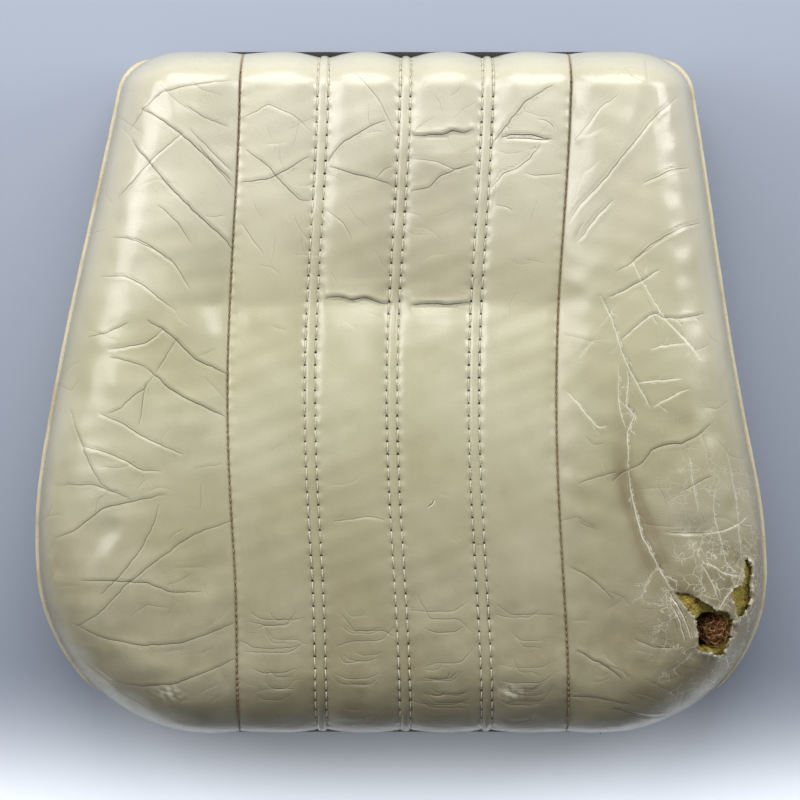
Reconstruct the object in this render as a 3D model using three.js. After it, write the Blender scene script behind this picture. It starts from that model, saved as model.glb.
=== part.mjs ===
// A sprung seat cushion with a fluted leather cover: steel base, coil springs,
// hessian, rubberised hair, foam, and a leather cover with piped side edges.
// Millimetres, +Z up. It lies as it does in use: the seating face is up, the
// wide round front is towards -Y and the origin is the middle of its underside.
import * as THREE from 'three';
import { mergeVertices } from 'three/addons/utils/BufferGeometryUtils.js';

// ---- Driving dimensions: the outline, seen from above -----------------------
const DEPTH = 490;               // rear edge to front edge
const FRONT_WIDTH = 522;         // across the widest place
const REAR_WIDTH = 396;          // across the rear, were its corners square
const TAPER_LENGTH = 365;        // rear edge to where the sides run parallel
const TAPER_EASE = 70;           // length over which the taper dies away
const FRONT_CORNER = 120;        // radius of the front corners

// ---- Driving dimensions: the seating face -----------------------------------
const TOP = 120;                 // height of the insert's flutes
const EDGE = 76;                 // height where the cover turns into the sides
const SIDE_ROLL = 40;            // run of the rolled edge at the sides,
const FRONT_ROLL = 62;           // at the front
const REAR_ROLL = 27;            // and at the rear
const FLUTE_COUNT = 4;
const FLUTE_PITCH = 58;          // seam to seam
const FLUTE_DEPTH = 7;           // crest to seam
const BOLSTER_RISE = 9;          // crest of a side bolster above the flutes
const SEAM_WIDTH = 15;           // width of the dip beside an insert seam
const NARROWEST_BOLSTER = 12;    // least width of a bolster at its ends

// ---- Driving dimensions: cover and filling ----------------------------------
const LEATHER = 2;
const PIPING_RADIUS = 2.3;
const CORD_RADIUS = 1.2;
const FOAM = 13.5;               // foam topper under the leather
const EDGE_FOAM = 13.5;          // foam strip down the sides
const HESSIAN = 1.5;
const LINING = 1;                // cloth under the base
const SLEEVE = 1.2;              // cloth blade sewn into each insert seam
const SLEEVE_SLOT = 2;           // slot for it between the foam pieces
const HAIR_SLOT = 8;             // slot for it between the hair pads
const LISTING_RADIUS = 1.5;      // steel rod that holds the blade down

// ---- Driving dimensions: base and springs -----------------------------------
const RAIL_WIDTH = 18;
const RAIL_THICK = 3;
const STRAP_WIDTH = 26;
const STRAP_THICK = 1.5;
const STRAP_LAP = 3;             // length of a strap's end on its rail
const BORDER = 4;                // square border wire round the spring tops
const SPRING_RADIUS = 24;        // to the middle of the wire
const WIRE_RADIUS = 1.5;
const SPRING_TURNS = 3.5;
const SPRING_ROWS = 3;
const SPRING_COLUMNS = 4;
const SPRING_MARGIN = 70;        // first row to the front or rear edge
const SPRING_TOP = 63.2;

// ---- Clearances and joints --------------------------------------------------
const GAP = 0.3;                 // between pieces that rest on each other
const SOFT_GAP = 0.5;            // between nested soft layers
const REAR_JOIN = 1.3;           // where the side pieces meet the rear ones
const FRONT_JOIN = 3.6;          // and the front ones, as outline stations

// ---- Worked out from the above ----------------------------------------------
const REAR_Y = DEPTH / 2;
const FRONT_Y = -DEPTH / 2;
const CORNER_Y = FRONT_Y + FRONT_CORNER;
const CORNER_X = FRONT_WIDTH / 2 - FRONT_CORNER;
const INSERT_HALF = FLUTE_COUNT * FLUTE_PITCH / 2;
const FOAM_INSET = LEATHER + SOFT_GAP;
const HAIR_INSET = FOAM_INSET + FOAM + SOFT_GAP;
const EDGE_INSET = LEATHER + GAP;
const HESSIAN_INSET = EDGE_INSET + EDGE_FOAM + GAP;
const BORDER_INSET = HESSIAN_INSET + GAP;
const RAIL_INSET = LEATHER + 3 * GAP;
const RAIL_Z = LINING + GAP;
const STRAP_Z = RAIL_Z + RAIL_THICK + GAP;
const SPRING_Z = STRAP_Z + STRAP_THICK + GAP;
const HESSIAN_Z = SPRING_TOP + GAP;
const HAIR_Z = HESSIAN_Z + HESSIAN + GAP;

const clamp = THREE.MathUtils.clamp;
const lerp = THREE.MathUtils.lerp;
const smooth = THREE.MathUtils.smoothstep;

// ---- Materials --------------------------------------------------------------
function finish(color, roughness, metalness = 0) {
  return new THREE.MeshStandardMaterial({ color, roughness, metalness });
}

const leather = finish(0xc9bf9c, 0.45);
const pipingLeather = finish(0xcbb58c, 0.5);
const sideCloth = finish(0x77756c, 0.8);
const blackCloth = finish(0x24231f, 0.95);
const foam = finish(0xd8b765, 0.9);
const hair = finish(0x6b4a2c, 0.95);
const hessianCloth = finish(0xa58a5c, 0.95);
const cotton = finish(0xd9d4c4, 0.9);
const steel = finish(0x3c3f42, 0.5, 0.8);
const springSteel = finish(0x8a8d90, 0.35, 0.9);

// ---- The outline ------------------------------------------------------------

/** Half the width between the side lines at y, before corners and insets. */
function sideLine(y) {
  const run = TAPER_LENGTH - TAPER_EASE / 2;
  const slope = (FRONT_WIDTH - REAR_WIDTH) / 2 / run;
  const back = Math.max(0, y - (REAR_Y - TAPER_LENGTH));
  const eased = back < TAPER_EASE ? back * back / (2 * TAPER_EASE) : back - TAPER_EASE / 2;
  return FRONT_WIDTH / 2 - slope * eased;
}

/**
 * A point of the right half of the outline, moved inwards by an inset.
 * Station 0 is the rear middle, 1 to 2 the rear corner, 2 to 3 the side,
 * 3 to 4 the front corner and 5 the front middle. Negative stations mirror it.
 */
function outlineAt(station, inset) {
  const t = Math.abs(station);
  const side = Math.sign(station);
  const turn = (t % 1 || Number(t > 0)) * Math.PI / 2;
  let x;
  let y;
  if (t <= 1) {
    y = REAR_Y - inset;
    x = t * (sideLine(y) - SIDE_ROLL);
  } else if (t <= 2) {
    y = REAR_Y - inset - Math.max(REAR_ROLL - inset, 1) * (1 - Math.cos(turn));
    x = sideLine(y) - inset - (SIDE_ROLL - inset) * (1 - Math.sin(turn));
  } else if (t <= 3) {
    y = lerp(REAR_Y - inset - Math.max(REAR_ROLL - inset, 1), CORNER_Y, t - 2);
    x = sideLine(y) - inset;
  } else if (t <= 4) {
    x = CORNER_X + (FRONT_CORNER - inset) * Math.cos(turn);
    y = CORNER_Y - (FRONT_CORNER - inset) * Math.sin(turn);
  } else {
    x = CORNER_X * (5 - t);
    y = FRONT_Y + inset;
  }
  return new THREE.Vector2(side * x, y);
}

/** Half the width of the inset outline at y. */
function halfWidth(y, inset) {
  const corner = FRONT_CORNER - inset;
  const into = clamp(CORNER_Y - y, 0, corner);
  const cut = corner - Math.sqrt(corner * corner - into * into);
  const rear = rearRoll(y, inset);
  return sideLine(y) - inset - cut - (SIDE_ROLL - inset) * (1 - Math.sqrt(1 - rear * rear));
}

/** x of the right-hand insert seam at y, in the layer at an inset. */
function seamX(y, inset) {
  return Math.min(INSERT_HALF, halfWidth(y, inset) - NARROWEST_BOLSTER);
}

/** 0 on the flat of the seat, rising to 1 at the rear edge. */
function rearRoll(y, inset) {
  return clamp(1 - (REAR_Y - inset - y) / Math.max(REAR_ROLL - inset, 1), 0, 1);
}

/** 0 on the flat of the seat, rising to 1 at the side and front edges. */
function sideRoll(x, y, inset) {
  const corner = FRONT_CORNER - inset;
  const past = Math.max(CORNER_Y - y, 0);
  const wide = Math.max(Math.abs(x) - CORNER_X, 0);
  const side = sideLine(y) - inset - Math.abs(x);
  const distance = past > 0 ? corner - Math.hypot(wide, past) : side;
  const run = lerp(SIDE_ROLL, FRONT_ROLL, 1 - smooth(y, FRONT_Y, CORNER_Y)) - inset;
  return clamp(1 - distance / run, 0, 1);
}

// ---- The seating face -------------------------------------------------------

/** Height of the flutes over the plain crown, for u from 0 to 1 across the insert. */
function fluteRelief(u) {
  const wave = Math.abs(Math.sin(Math.PI * FLUTE_COUNT * u));
  return FLUTE_DEPTH * (Math.pow(wave, 0.7) - 1);
}

/** Height of a bolster and of the dip beside its seam, for a share of its width. */
function bolsterRelief(share, y) {
  const out = share * (halfWidth(y, 0) - INSERT_HALF);
  const dip = Math.pow(clamp(1 - out / SEAM_WIDTH, 0, 1), 2);
  return BOLSTER_RISE * Math.sin(Math.PI * share) - FLUTE_DEPTH * dip;
}

/** Height of the surface that lies an inset inside the cover, with its relief. */
function surfaceZ(x, y, inset, relief) {
  const roll = Math.min(1, Math.hypot(sideRoll(x, y, inset), rearRoll(y, inset)));
  const rise = Math.sqrt(1 - roll * roll);
  const kept = clamp(1 - (inset - FOAM_INSET) / FOAM, 0, 1);
  return EDGE + rise * (TOP - inset - EDGE + kept * relief);
}

// ---- Ways to make a piece ---------------------------------------------------
const group = new THREE.Group();

function add(name, geometry, material) {
  const mesh = new THREE.Mesh(geometry, material);
  mesh.name = name;
  group.add(mesh);
  return mesh;
}

/** The geometry reflected in the plane x = 0, with its faces kept outwards. */
function mirrored(geometry) {
  const copy = geometry.clone().scale(-1, 1, 1);
  const index = copy.index.array;
  for (let k = 0; k < index.length; k += 3) {
    [index[k], index[k + 1]] = [index[k + 1], index[k]];
  }
  return copy;
}

/** Adds a right-hand piece and its left-hand twin. */
function addPair(name, geometry, material) {
  const right = mergeVertices(plain(geometry));
  add(`right_${name}`, right, material);
  add(`left_${name}`, mirrored(right), material);
}

function plain(geometry) {
  geometry.deleteAttribute('normal');
  geometry.deleteAttribute('uv');
  return geometry;
}

/** Splits a box's cells alike on its two long sides, and on its top and underside. */
function matchDiagonals(box) {
  const index = box.index;
  for (const { start, count } of [box.groups[1], box.groups[5]]) {
    for (let k = start; k < start + count; k += 6) {
      const [a, b, c, d] = [0, 1, 4, 5].map((n) => index.getX(k + n));
      [a, b, c, a, c, d].forEach((corner, n) => index.setX(k + n, corner));
    }
  }
  return box;
}

/**
 * A box of nu by nv cells whose corners go where place(u, v, w) says. Nested
 * layers made with the same cells stay clear of each other between corners.
 */
function mappedBox(nu, nv, place) {
  const geometry = matchDiagonals(plain(new THREE.BoxGeometry(1, 1, 1, nu, nv, 1)));
  const at = geometry.attributes.position;
  for (let k = 0; k < at.count; k++) {
    const [u, v, w] = [at.getX(k) + 0.5, at.getY(k) + 0.5, at.getZ(k) + 0.5];
    at.setXYZ(k, ...place(u, v, w));
  }
  return mergeVertices(geometry);
}

const LENGTHWISE = 14;           // cells from front to rear
const PER_FLUTE = 4;             // cells across each flute
const ACROSS_BOLSTER = 8;
const STRETCH_CELLS = 9;         // cells along each stretch of the outline
const SLEEVE_SHORT = 2;          // end rows that the listing sleeves stop short of

/** y for v from 0 to 1, crowded towards the two rolled ends. */
function rowY(v, inset) {
  return -(REAR_Y - inset) * Math.cos(Math.PI * v);
}

/** Share of a bolster's width, crowded towards its rolled edge. */
function bolsterShare(u) {
  return Math.sin(u * Math.PI / 2);
}

/** A layer of the middle panel between two insets, from seam to seam. */
function insertLayer(outer, inner) {
  return mappedBox(FLUTE_COUNT * PER_FLUTE, LENGTHWISE, (u, v, w) => {
    const inset = lerp(inner, outer, w);
    const y = rowY(v, inset);
    const half = seamX(y, inset) - GAP / 2;
    const x = lerp(-half, half, u);
    return [x, y, surfaceZ(x, y, inset, fluteRelief(u))];
  });
}

/** The same of the right-hand bolster, from a slot beside the seam to the outline. */
function bolsterLayer(slot, outer, inner) {
  return mappedBox(ACROSS_BOLSTER, LENGTHWISE, (u, v, w) => {
    const inset = lerp(inner, outer, w);
    const y = rowY(v, inset);
    const share = bolsterShare(u);
    const x = lerp(seamX(y, inset) + slot, halfWidth(y, inset), share);
    return [x, y, surfaceZ(x, y, inset, bolsterRelief(share, y))];
  });
}

/** Points of the inset outline between two stations, none on the straight ends. */
function outlinePoints(from, to, inset) {
  const stops = [from];
  const cuts = [-2, -1, 1, 2, 3].filter((t) => t > from && t < to);
  for (const stop of [...cuts, to]) {
    const start = stops[stops.length - 1];
    const straight = start < 0 && stop > 0;
    const cells = straight ? 1 : STRETCH_CELLS;
    for (let k = 1; k <= cells; k++) stops.push(lerp(start, stop, k / cells));
  }
  return stops.map((t) => outlineAt(t, inset));
}

/** The points, then their mirror images in the plane x = 0, back to front. */
function withMirror(points) {
  return [...points, ...points.map((p) => new THREE.Vector2(-p.x, p.y)).reverse()];
}

/** The whole inset outline, as a closed ring of points, anticlockwise. */
function outlineRing(inset) {
  return withMirror(outlinePoints(1, 4, inset)).reverse();
}

/** An upright wall along the outline, between two stations and two insets. */
function wall(from, to, outer, inner, low, high) {
  const shape = new THREE.Shape([
    ...outlinePoints(from, to, outer),
    ...outlinePoints(from, to, inner).reverse(),
  ]);
  return new THREE.ExtrudeGeometry(shape, { depth: high - low, bevelEnabled: false })
    .translate(0, 0, low);
}

/** The same across the front, from one front joint to the other. */
function frontWall(outer, inner, low, high) {
  const run = (inset) => withMirror(outlinePoints(FRONT_FROM, 4, inset));
  const shape = new THREE.Shape([...run(outer), ...run(inner).reverse()]);
  return new THREE.ExtrudeGeometry(shape, { depth: high - low, bevelEnabled: false })
    .translate(0, 0, low);
}

/** Half a joint's gap, in stations, within the stretch that starts at a station. */
function joinTrim(stretch) {
  const length = outlineAt(stretch + 0.4, 0).distanceTo(outlineAt(stretch + 0.6, 0)) / 0.2;
  return GAP / length;
}

const SIDE_FROM = REAR_JOIN + joinTrim(1);
const SIDE_TO = FRONT_JOIN - joinTrim(3);
const FRONT_FROM = FRONT_JOIN + joinTrim(3);
const REAR_TO = REAR_JOIN - joinTrim(1);

/** A flat sheet that fills the inset outline. */
function sheet(inset, low, thick) {
  const shape = new THREE.Shape(outlineRing(inset));
  return new THREE.ExtrudeGeometry(shape, { depth: thick, bevelEnabled: false })
    .translate(0, 0, low);
}

// ---- Leather cover ----------------------------------------------------------
function makeCover() {
  add('insert_panel', insertLayer(0, LEATHER), leather);
  addPair('bolster_panel', bolsterLayer(GAP / 2, 0, LEATHER), leather);

  const low = LINING + GAP;
  const boxingTop = EDGE - 2 * GAP - 2 * PIPING_RADIUS;
  addPair('boxing', wall(SIDE_FROM, SIDE_TO, 0, LEATHER, low, boxingTop), sideCloth);
  add('front_skirt', frontWall(0, LEATHER, low, EDGE - GAP), leather);
  add('rear_skirt', wall(-REAR_TO, REAR_TO, 0, LEATHER, low, EDGE - GAP), blackCloth);
  add('underlining', sheet(0, 0, LINING), blackCloth);
}

/** The line that the piping follows, on top of the side wall. */
function pipingPath() {
  const z = EDGE - GAP - PIPING_RADIUS;
  const points = outlinePoints(SIDE_FROM, SIDE_TO, PIPING_RADIUS / 2);
  return new THREE.CatmullRomCurve3(points.map((p) => new THREE.Vector3(p.x, p.y, z)));
}

function circle(radius) {
  return new THREE.Shape().absarc(0, 0, radius, 0, 2 * Math.PI, false);
}

function makePiping() {
  const extrudePath = pipingPath();
  const sleeve = circle(PIPING_RADIUS);
  sleeve.holes.push(circle(CORD_RADIUS + GAP));
  const cover = new THREE.ExtrudeGeometry(sleeve, { extrudePath, steps: 22, curveSegments: 4 });
  const cord = new THREE.ExtrudeGeometry(circle(CORD_RADIUS), {
    extrudePath, steps: 22, curveSegments: 3,
  });
  addPair('piping', cover, pipingLeather);
  addPair('piping_cord', cord, cotton);
}

// ---- Filling ----------------------------------------------------------------
function makeFoam() {
  const outer = FOAM_INSET;
  const inner = FOAM_INSET + FOAM;
  add('insert_foam', insertLayer(outer, inner), foam);
  addPair('bolster_foam', bolsterLayer(SLEEVE_SLOT - GAP / 2, outer, inner), foam);

  const low = STRAP_Z;
  const high = EDGE - GAP;
  const inside = EDGE_INSET + EDGE_FOAM;
  const sideHigh = EDGE - 2 * GAP - 2 * PIPING_RADIUS;
  addPair('edge_foam', wall(SIDE_FROM, SIDE_TO, EDGE_INSET, inside, low, sideHigh), foam);
  add('front_edge_foam', frontWall(EDGE_INSET, inside, low, high), foam);
  add('rear_edge_foam', wall(-REAR_TO, REAR_TO, EDGE_INSET, inside, low, high), foam);
}

function makeHair() {
  add('hair_pad', mappedBox(4, LENGTHWISE, (u, v, w) => {
    const y = rowY(v, HAIR_INSET);
    const half = seamX(y, HAIR_INSET) - HAIR_SLOT / 2;
    const x = lerp(-half, half, u);
    return [x, y, w > 0.5 ? surfaceZ(x, y, HAIR_INSET, 0) : HAIR_Z];
  }), hair);
  addPair('hair_bolster', mappedBox(ACROSS_BOLSTER, LENGTHWISE, (u, v, w) => {
    const y = rowY(v, HAIR_INSET);
    const start = seamX(y, HAIR_INSET) + HAIR_SLOT / 2;
    const x = lerp(start, halfWidth(y, HAIR_INSET), bolsterShare(u));
    return [x, y, w > 0.5 ? surfaceZ(x, y, HAIR_INSET, 0) : HAIR_Z];
  }), hair);
  add('hessian', sheet(HESSIAN_INSET, HESSIAN_Z, HESSIAN), hessianCloth);
}

/** y of the blade's edge above, for v from 0 to 1: the cover's rows but the end ones. */
function sleeveY(v) {
  const first = SLEEVE_SHORT / LENGTHWISE;
  return rowY(lerp(first, 1 - first, v), LEATHER);
}

/** The rod under each insert seam, and the cloth blade that hangs on to it. */
function makeListings() {
  const middle = INSERT_HALF + (SLEEVE_SLOT - GAP) / 2;
  const z = HAIR_Z + LISTING_RADIUS;
  const rod = new THREE.CylinderGeometry(LISTING_RADIUS, LISTING_RADIUS, 2 * sleeveY(1), 8);
  addPair('listing_rod', rod.translate(middle, 0, z), springSteel);

  const low = z + LISTING_RADIUS + GAP;
  addPair('listing_sleeve', mappedBox(1, LENGTHWISE - 2 * SLEEVE_SHORT, (u, v, w) => {
    const x = middle + lerp(-SLEEVE, SLEEVE, u) / 2;
    const y = sleeveY(v);
    const high = surfaceZ(middle, y, LEATHER, -FLUTE_DEPTH) - SOFT_GAP;
    return [x, y, w > 0.5 ? high : low];
  }), cotton);
}

// ---- Spring unit ------------------------------------------------------------

/** The centre line of a coil spring that stands on z = 0. */
class CoilCurve extends THREE.Curve {
  getPoint(t, target = new THREE.Vector3()) {
    const angle = 2 * Math.PI * SPRING_TURNS * t;
    const rise = SPRING_TOP - SPRING_Z - 2 * WIRE_RADIUS;
    return target.set(
      SPRING_RADIUS * Math.cos(angle),
      SPRING_RADIUS * Math.sin(angle),
      WIRE_RADIUS + rise * t,
    );
  }
}

/** y of a row of springs, counted from the front. */
function springRowY(row) {
  const end = REAR_Y - SPRING_MARGIN - SPRING_RADIUS;
  return lerp(-end, end, row / (SPRING_ROWS - 1));
}

function makeSprings() {
  const coil = new THREE.ExtrudeGeometry(circle(WIRE_RADIUS), {
    extrudePath: new CoilCurve(), steps: 32, curveSegments: 3,
  });
  const rearRow = springRowY(SPRING_ROWS - 1);
  const reach = SPRING_RADIUS + WIRE_RADIUS + BORDER + 2 * GAP;
  const outer = halfWidth(rearRow + SPRING_RADIUS, BORDER_INSET) - reach;
  for (let row = 0; row < SPRING_ROWS; row++) {
    for (let column = 0; column < SPRING_COLUMNS; column++) {
      const spring = add(`spring_${row + 1}_${column + 1}`, coil, springSteel);
      const x = lerp(-outer, outer, column / (SPRING_COLUMNS - 1));
      spring.position.set(x, springRowY(row), SPRING_Z);
    }
  }
}

/** The square wire ring that ties the tops of the springs together. */
function makeBorder() {
  const shape = new THREE.Shape(outlineRing(BORDER_INSET));
  shape.holes.push(new THREE.Path(outlineRing(BORDER_INSET + BORDER)));
  const ring = new THREE.ExtrudeGeometry(shape, { depth: BORDER, bevelEnabled: false });
  add('border_wire', ring.translate(0, 0, SPRING_TOP - BORDER), springSteel);
}

// ---- Base -------------------------------------------------------------------
function makeBase() {
  const inside = RAIL_INSET + RAIL_WIDTH;
  const high = RAIL_Z + RAIL_THICK;
  addPair('rail', wall(SIDE_FROM, SIDE_TO, RAIL_INSET, inside, RAIL_Z, high), steel);
  add('front_rail', frontWall(RAIL_INSET, inside, RAIL_Z, high), steel);
  add('rear_rail', wall(-REAR_TO, REAR_TO, RAIL_INSET, inside, RAIL_Z, high), steel);

  for (let row = 0; row < SPRING_ROWS; row++) {
    const y = springRowY(row);
    const edges = [y - STRAP_WIDTH / 2, y + STRAP_WIDTH / 2];
    const narrowest = Math.min(...edges.map((edge) => halfWidth(edge, inside)));
    const length = 2 * (narrowest + STRAP_LAP);
    const flat = new THREE.BoxGeometry(length, STRAP_WIDTH, STRAP_THICK);
    const strap = add(`strap_${row + 1}`, flat, steel);
    strap.position.set(0, y, STRAP_Z + STRAP_THICK / 2);
  }
}

makeCover();
makePiping();
makeFoam();
makeHair();
makeListings();
makeSprings();
makeBorder();
makeBase();

export default group;
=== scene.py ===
"""Looks of a sprung leather seat cushion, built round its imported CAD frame.

The cushion lies on its base with the seating face up, the wide round front towards -Y. Everything is
in metres and in the CAD model's own frame. The leather cover is cut from an insert and two bolsters,
sewn together, puffed by a short cloth run, then worn: folded, cracked and torn.
"""

import logging
import math
from dataclasses import dataclass, field
from enum import Enum

import bpy
import numpy as np
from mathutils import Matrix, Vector


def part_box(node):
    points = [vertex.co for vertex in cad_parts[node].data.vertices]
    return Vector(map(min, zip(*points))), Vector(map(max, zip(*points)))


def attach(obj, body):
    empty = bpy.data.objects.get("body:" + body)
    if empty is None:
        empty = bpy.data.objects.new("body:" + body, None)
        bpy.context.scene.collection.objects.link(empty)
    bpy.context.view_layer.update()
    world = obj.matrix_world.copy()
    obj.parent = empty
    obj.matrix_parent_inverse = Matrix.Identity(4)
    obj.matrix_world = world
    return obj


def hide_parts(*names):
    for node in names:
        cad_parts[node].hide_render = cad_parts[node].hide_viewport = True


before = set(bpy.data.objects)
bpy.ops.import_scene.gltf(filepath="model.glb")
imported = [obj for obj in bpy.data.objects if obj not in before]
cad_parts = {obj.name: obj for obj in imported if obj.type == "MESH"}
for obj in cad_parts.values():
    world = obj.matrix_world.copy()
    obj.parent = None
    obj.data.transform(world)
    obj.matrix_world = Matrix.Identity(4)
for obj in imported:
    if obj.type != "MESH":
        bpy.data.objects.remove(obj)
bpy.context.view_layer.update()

LOG = logging.getLogger("seat_cushion")
MM = 0.001


# ---- Small tools ------------------------------------------------------------

def linear(hex_colour: str) -> tuple[float, float, float, float]:
    """Turns an sRGB hex colour into linear light.

    Args:
        hex_colour: a colour such as "#c9bf9c".

    Returns:
        Red, green, blue and alpha, from 0 to 1.
    """
    parts = [int(hex_colour[k:k + 2], 16) / 255 for k in (1, 3, 5)]
    light = [c / 12.92 if c <= 0.04045 else ((c + 0.055) / 1.055) ** 2.4 for c in parts]
    return (light[0], light[1], light[2], 1.0)


def smooth(x: np.ndarray, low: float, high: float) -> np.ndarray:
    """Eases from 0 at low to 1 at high, also where low is above high.

    Args:
        x: the values to ease.
        low: where the result is 0.
        high: where the result is 1.

    Returns:
        The eased shares.
    """
    t = np.clip((x - low) / (high - low), 0, 1)
    return t * t * (3 - 2 * t)


def ripples(x: np.ndarray, y: np.ndarray, length: float, seed: int, count: int = 9) -> np.ndarray:
    """Soft random swells: a sum of plain waves in seeded directions.

    Args:
        x: places across, in metres.
        y: places along, in metres.
        length: the usual wavelength, in metres.
        seed: picks the directions and phases.
        count: how many waves are added.

    Returns:
        Heights, mostly between -1 and 1.
    """
    draw = np.random.default_rng(seed)
    total = np.zeros(np.shape(x))
    for _ in range(count):
        turn, phase = draw.uniform(0, 2 * math.pi, 2)
        pitch = 2 * math.pi / (length * draw.uniform(0.7, 1.6))
        total = total + np.sin(pitch * (x * math.cos(turn) + y * math.sin(turn)) + phase)
    return total / math.sqrt(2 * count)


def deselect_all() -> None:
    """Leaves object mode's selection empty, because operators act on all that is selected."""
    if bpy.context.mode != "OBJECT":
        bpy.ops.object.mode_set(mode="OBJECT")
    bpy.ops.object.select_all(action="DESELECT")


def make_piece(name: str, points: np.ndarray, faces: np.ndarray | list, finish: bpy.types.Material) -> bpy.types.Object:
    """Makes a mesh piece that rides on the one body and takes its finish from a slot.

    Args:
        name: the piece's name.
        points: vertices, in metres, in the row frame.
        faces: vertex numbers, one row a face.
        finish: its material.

    Returns:
        The new object, shaded smooth.
    """
    mesh = bpy.data.meshes.new(name)
    mesh.from_pydata(points.tolist(), [], [list(face) for face in faces])
    mesh.materials.append(finish)
    piece = bpy.data.objects.new(name, mesh)
    bpy.context.scene.collection.objects.link(piece)
    mesh.shade_smooth()
    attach(piece, "root")
    return piece


def thicken(piece: bpy.types.Object, thickness: float) -> None:
    """Gives an open skin its wall, inwards.

    Args:
        piece: the skin, its faces outwards.
        thickness: of the wall, in metres.
    """
    deselect_all()
    bpy.context.view_layer.objects.active = piece
    wall = piece.modifiers.new("wall", "SOLIDIFY")
    wall.thickness = thickness
    wall.offset = -1
    bpy.ops.object.modifier_apply(modifier=wall.name)


def report(piece: bpy.types.Object) -> None:
    """Logs a piece's name and how many faces it has."""
    LOG.info("%-26s %7d faces", piece.name, len(piece.data.polygons))


def grid_faces(rows: int, columns: int, closed: bool = False) -> np.ndarray:
    """Quads of a grid whose rows run from the rear forwards and whose columns run to the right.

    Args:
        rows: number of rows of points.
        columns: number of points in a row.
        closed: whether each row is a ring.

    Returns:
        Vertex numbers, four to a face, facing up.
    """
    i, j = np.meshgrid(np.arange(rows - 1), np.arange(columns if closed else columns - 1), indexing="ij")
    after = (j + 1) % columns
    quads = [i * columns + j, (i + 1) * columns + j, (i + 1) * columns + after, i * columns + after]
    return np.stack([q.ravel() for q in quads], axis=1)


def grid_normals(points: np.ndarray) -> np.ndarray:
    """Outward unit normals of a grid of points.

    Args:
        points: rows by columns by 3.

    Returns:
        Normals of the same shape.
    """
    normal = np.cross(np.gradient(points, axis=0), np.gradient(points, axis=1))
    return normal / np.maximum(np.linalg.norm(normal, axis=2, keepdims=True), 1e-12)


def lengths_along(points: np.ndarray) -> np.ndarray:
    """Distance walked to each point of a line.

    Args:
        points: one row each.

    Returns:
        Distances, from 0.
    """
    return np.concatenate([[0], np.cumsum(np.linalg.norm(np.diff(points, axis=0), axis=1))])


def points_at(points: np.ndarray, at: np.ndarray) -> np.ndarray:
    """Points of a flat line at given distances from its start.

    Args:
        points: the line, one row each, x and y.
        at: the distances.

    Returns:
        Points, one row each.
    """
    length = lengths_along(points)
    return np.stack([np.interp(at, length, points[:, k]) for k in (0, 1)], axis=1)


def unit(vectors: np.ndarray) -> np.ndarray:
    """The vectors of the last axis, each one long."""
    return vectors / np.linalg.norm(vectors, axis=-1, keepdims=True)


def left_of(run: np.ndarray) -> np.ndarray:
    """Unit vectors to the left of a flat line at each of its points."""
    ahead = unit(np.gradient(run, axis=0))
    return np.stack([-ahead[:, 1], ahead[:, 0]], axis=1)


def near_line(line: np.ndarray, x: np.ndarray, y: np.ndarray, reach: float) -> np.ndarray:
    """Whether places lie within reach of a line's box.

    Args:
        line: its points.
        x: places across.
        y: places along.
        reach: how far round the box, in metres.

    Returns:
        True inside.
    """
    return ((x > line[:, 0].min() - reach) & (x < line[:, 0].max() + reach)
            & (y > line[:, 1].min() - reach) & (y < line[:, 1].max() + reach))


# ---- The plan and the seating face ------------------------------------------

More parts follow.
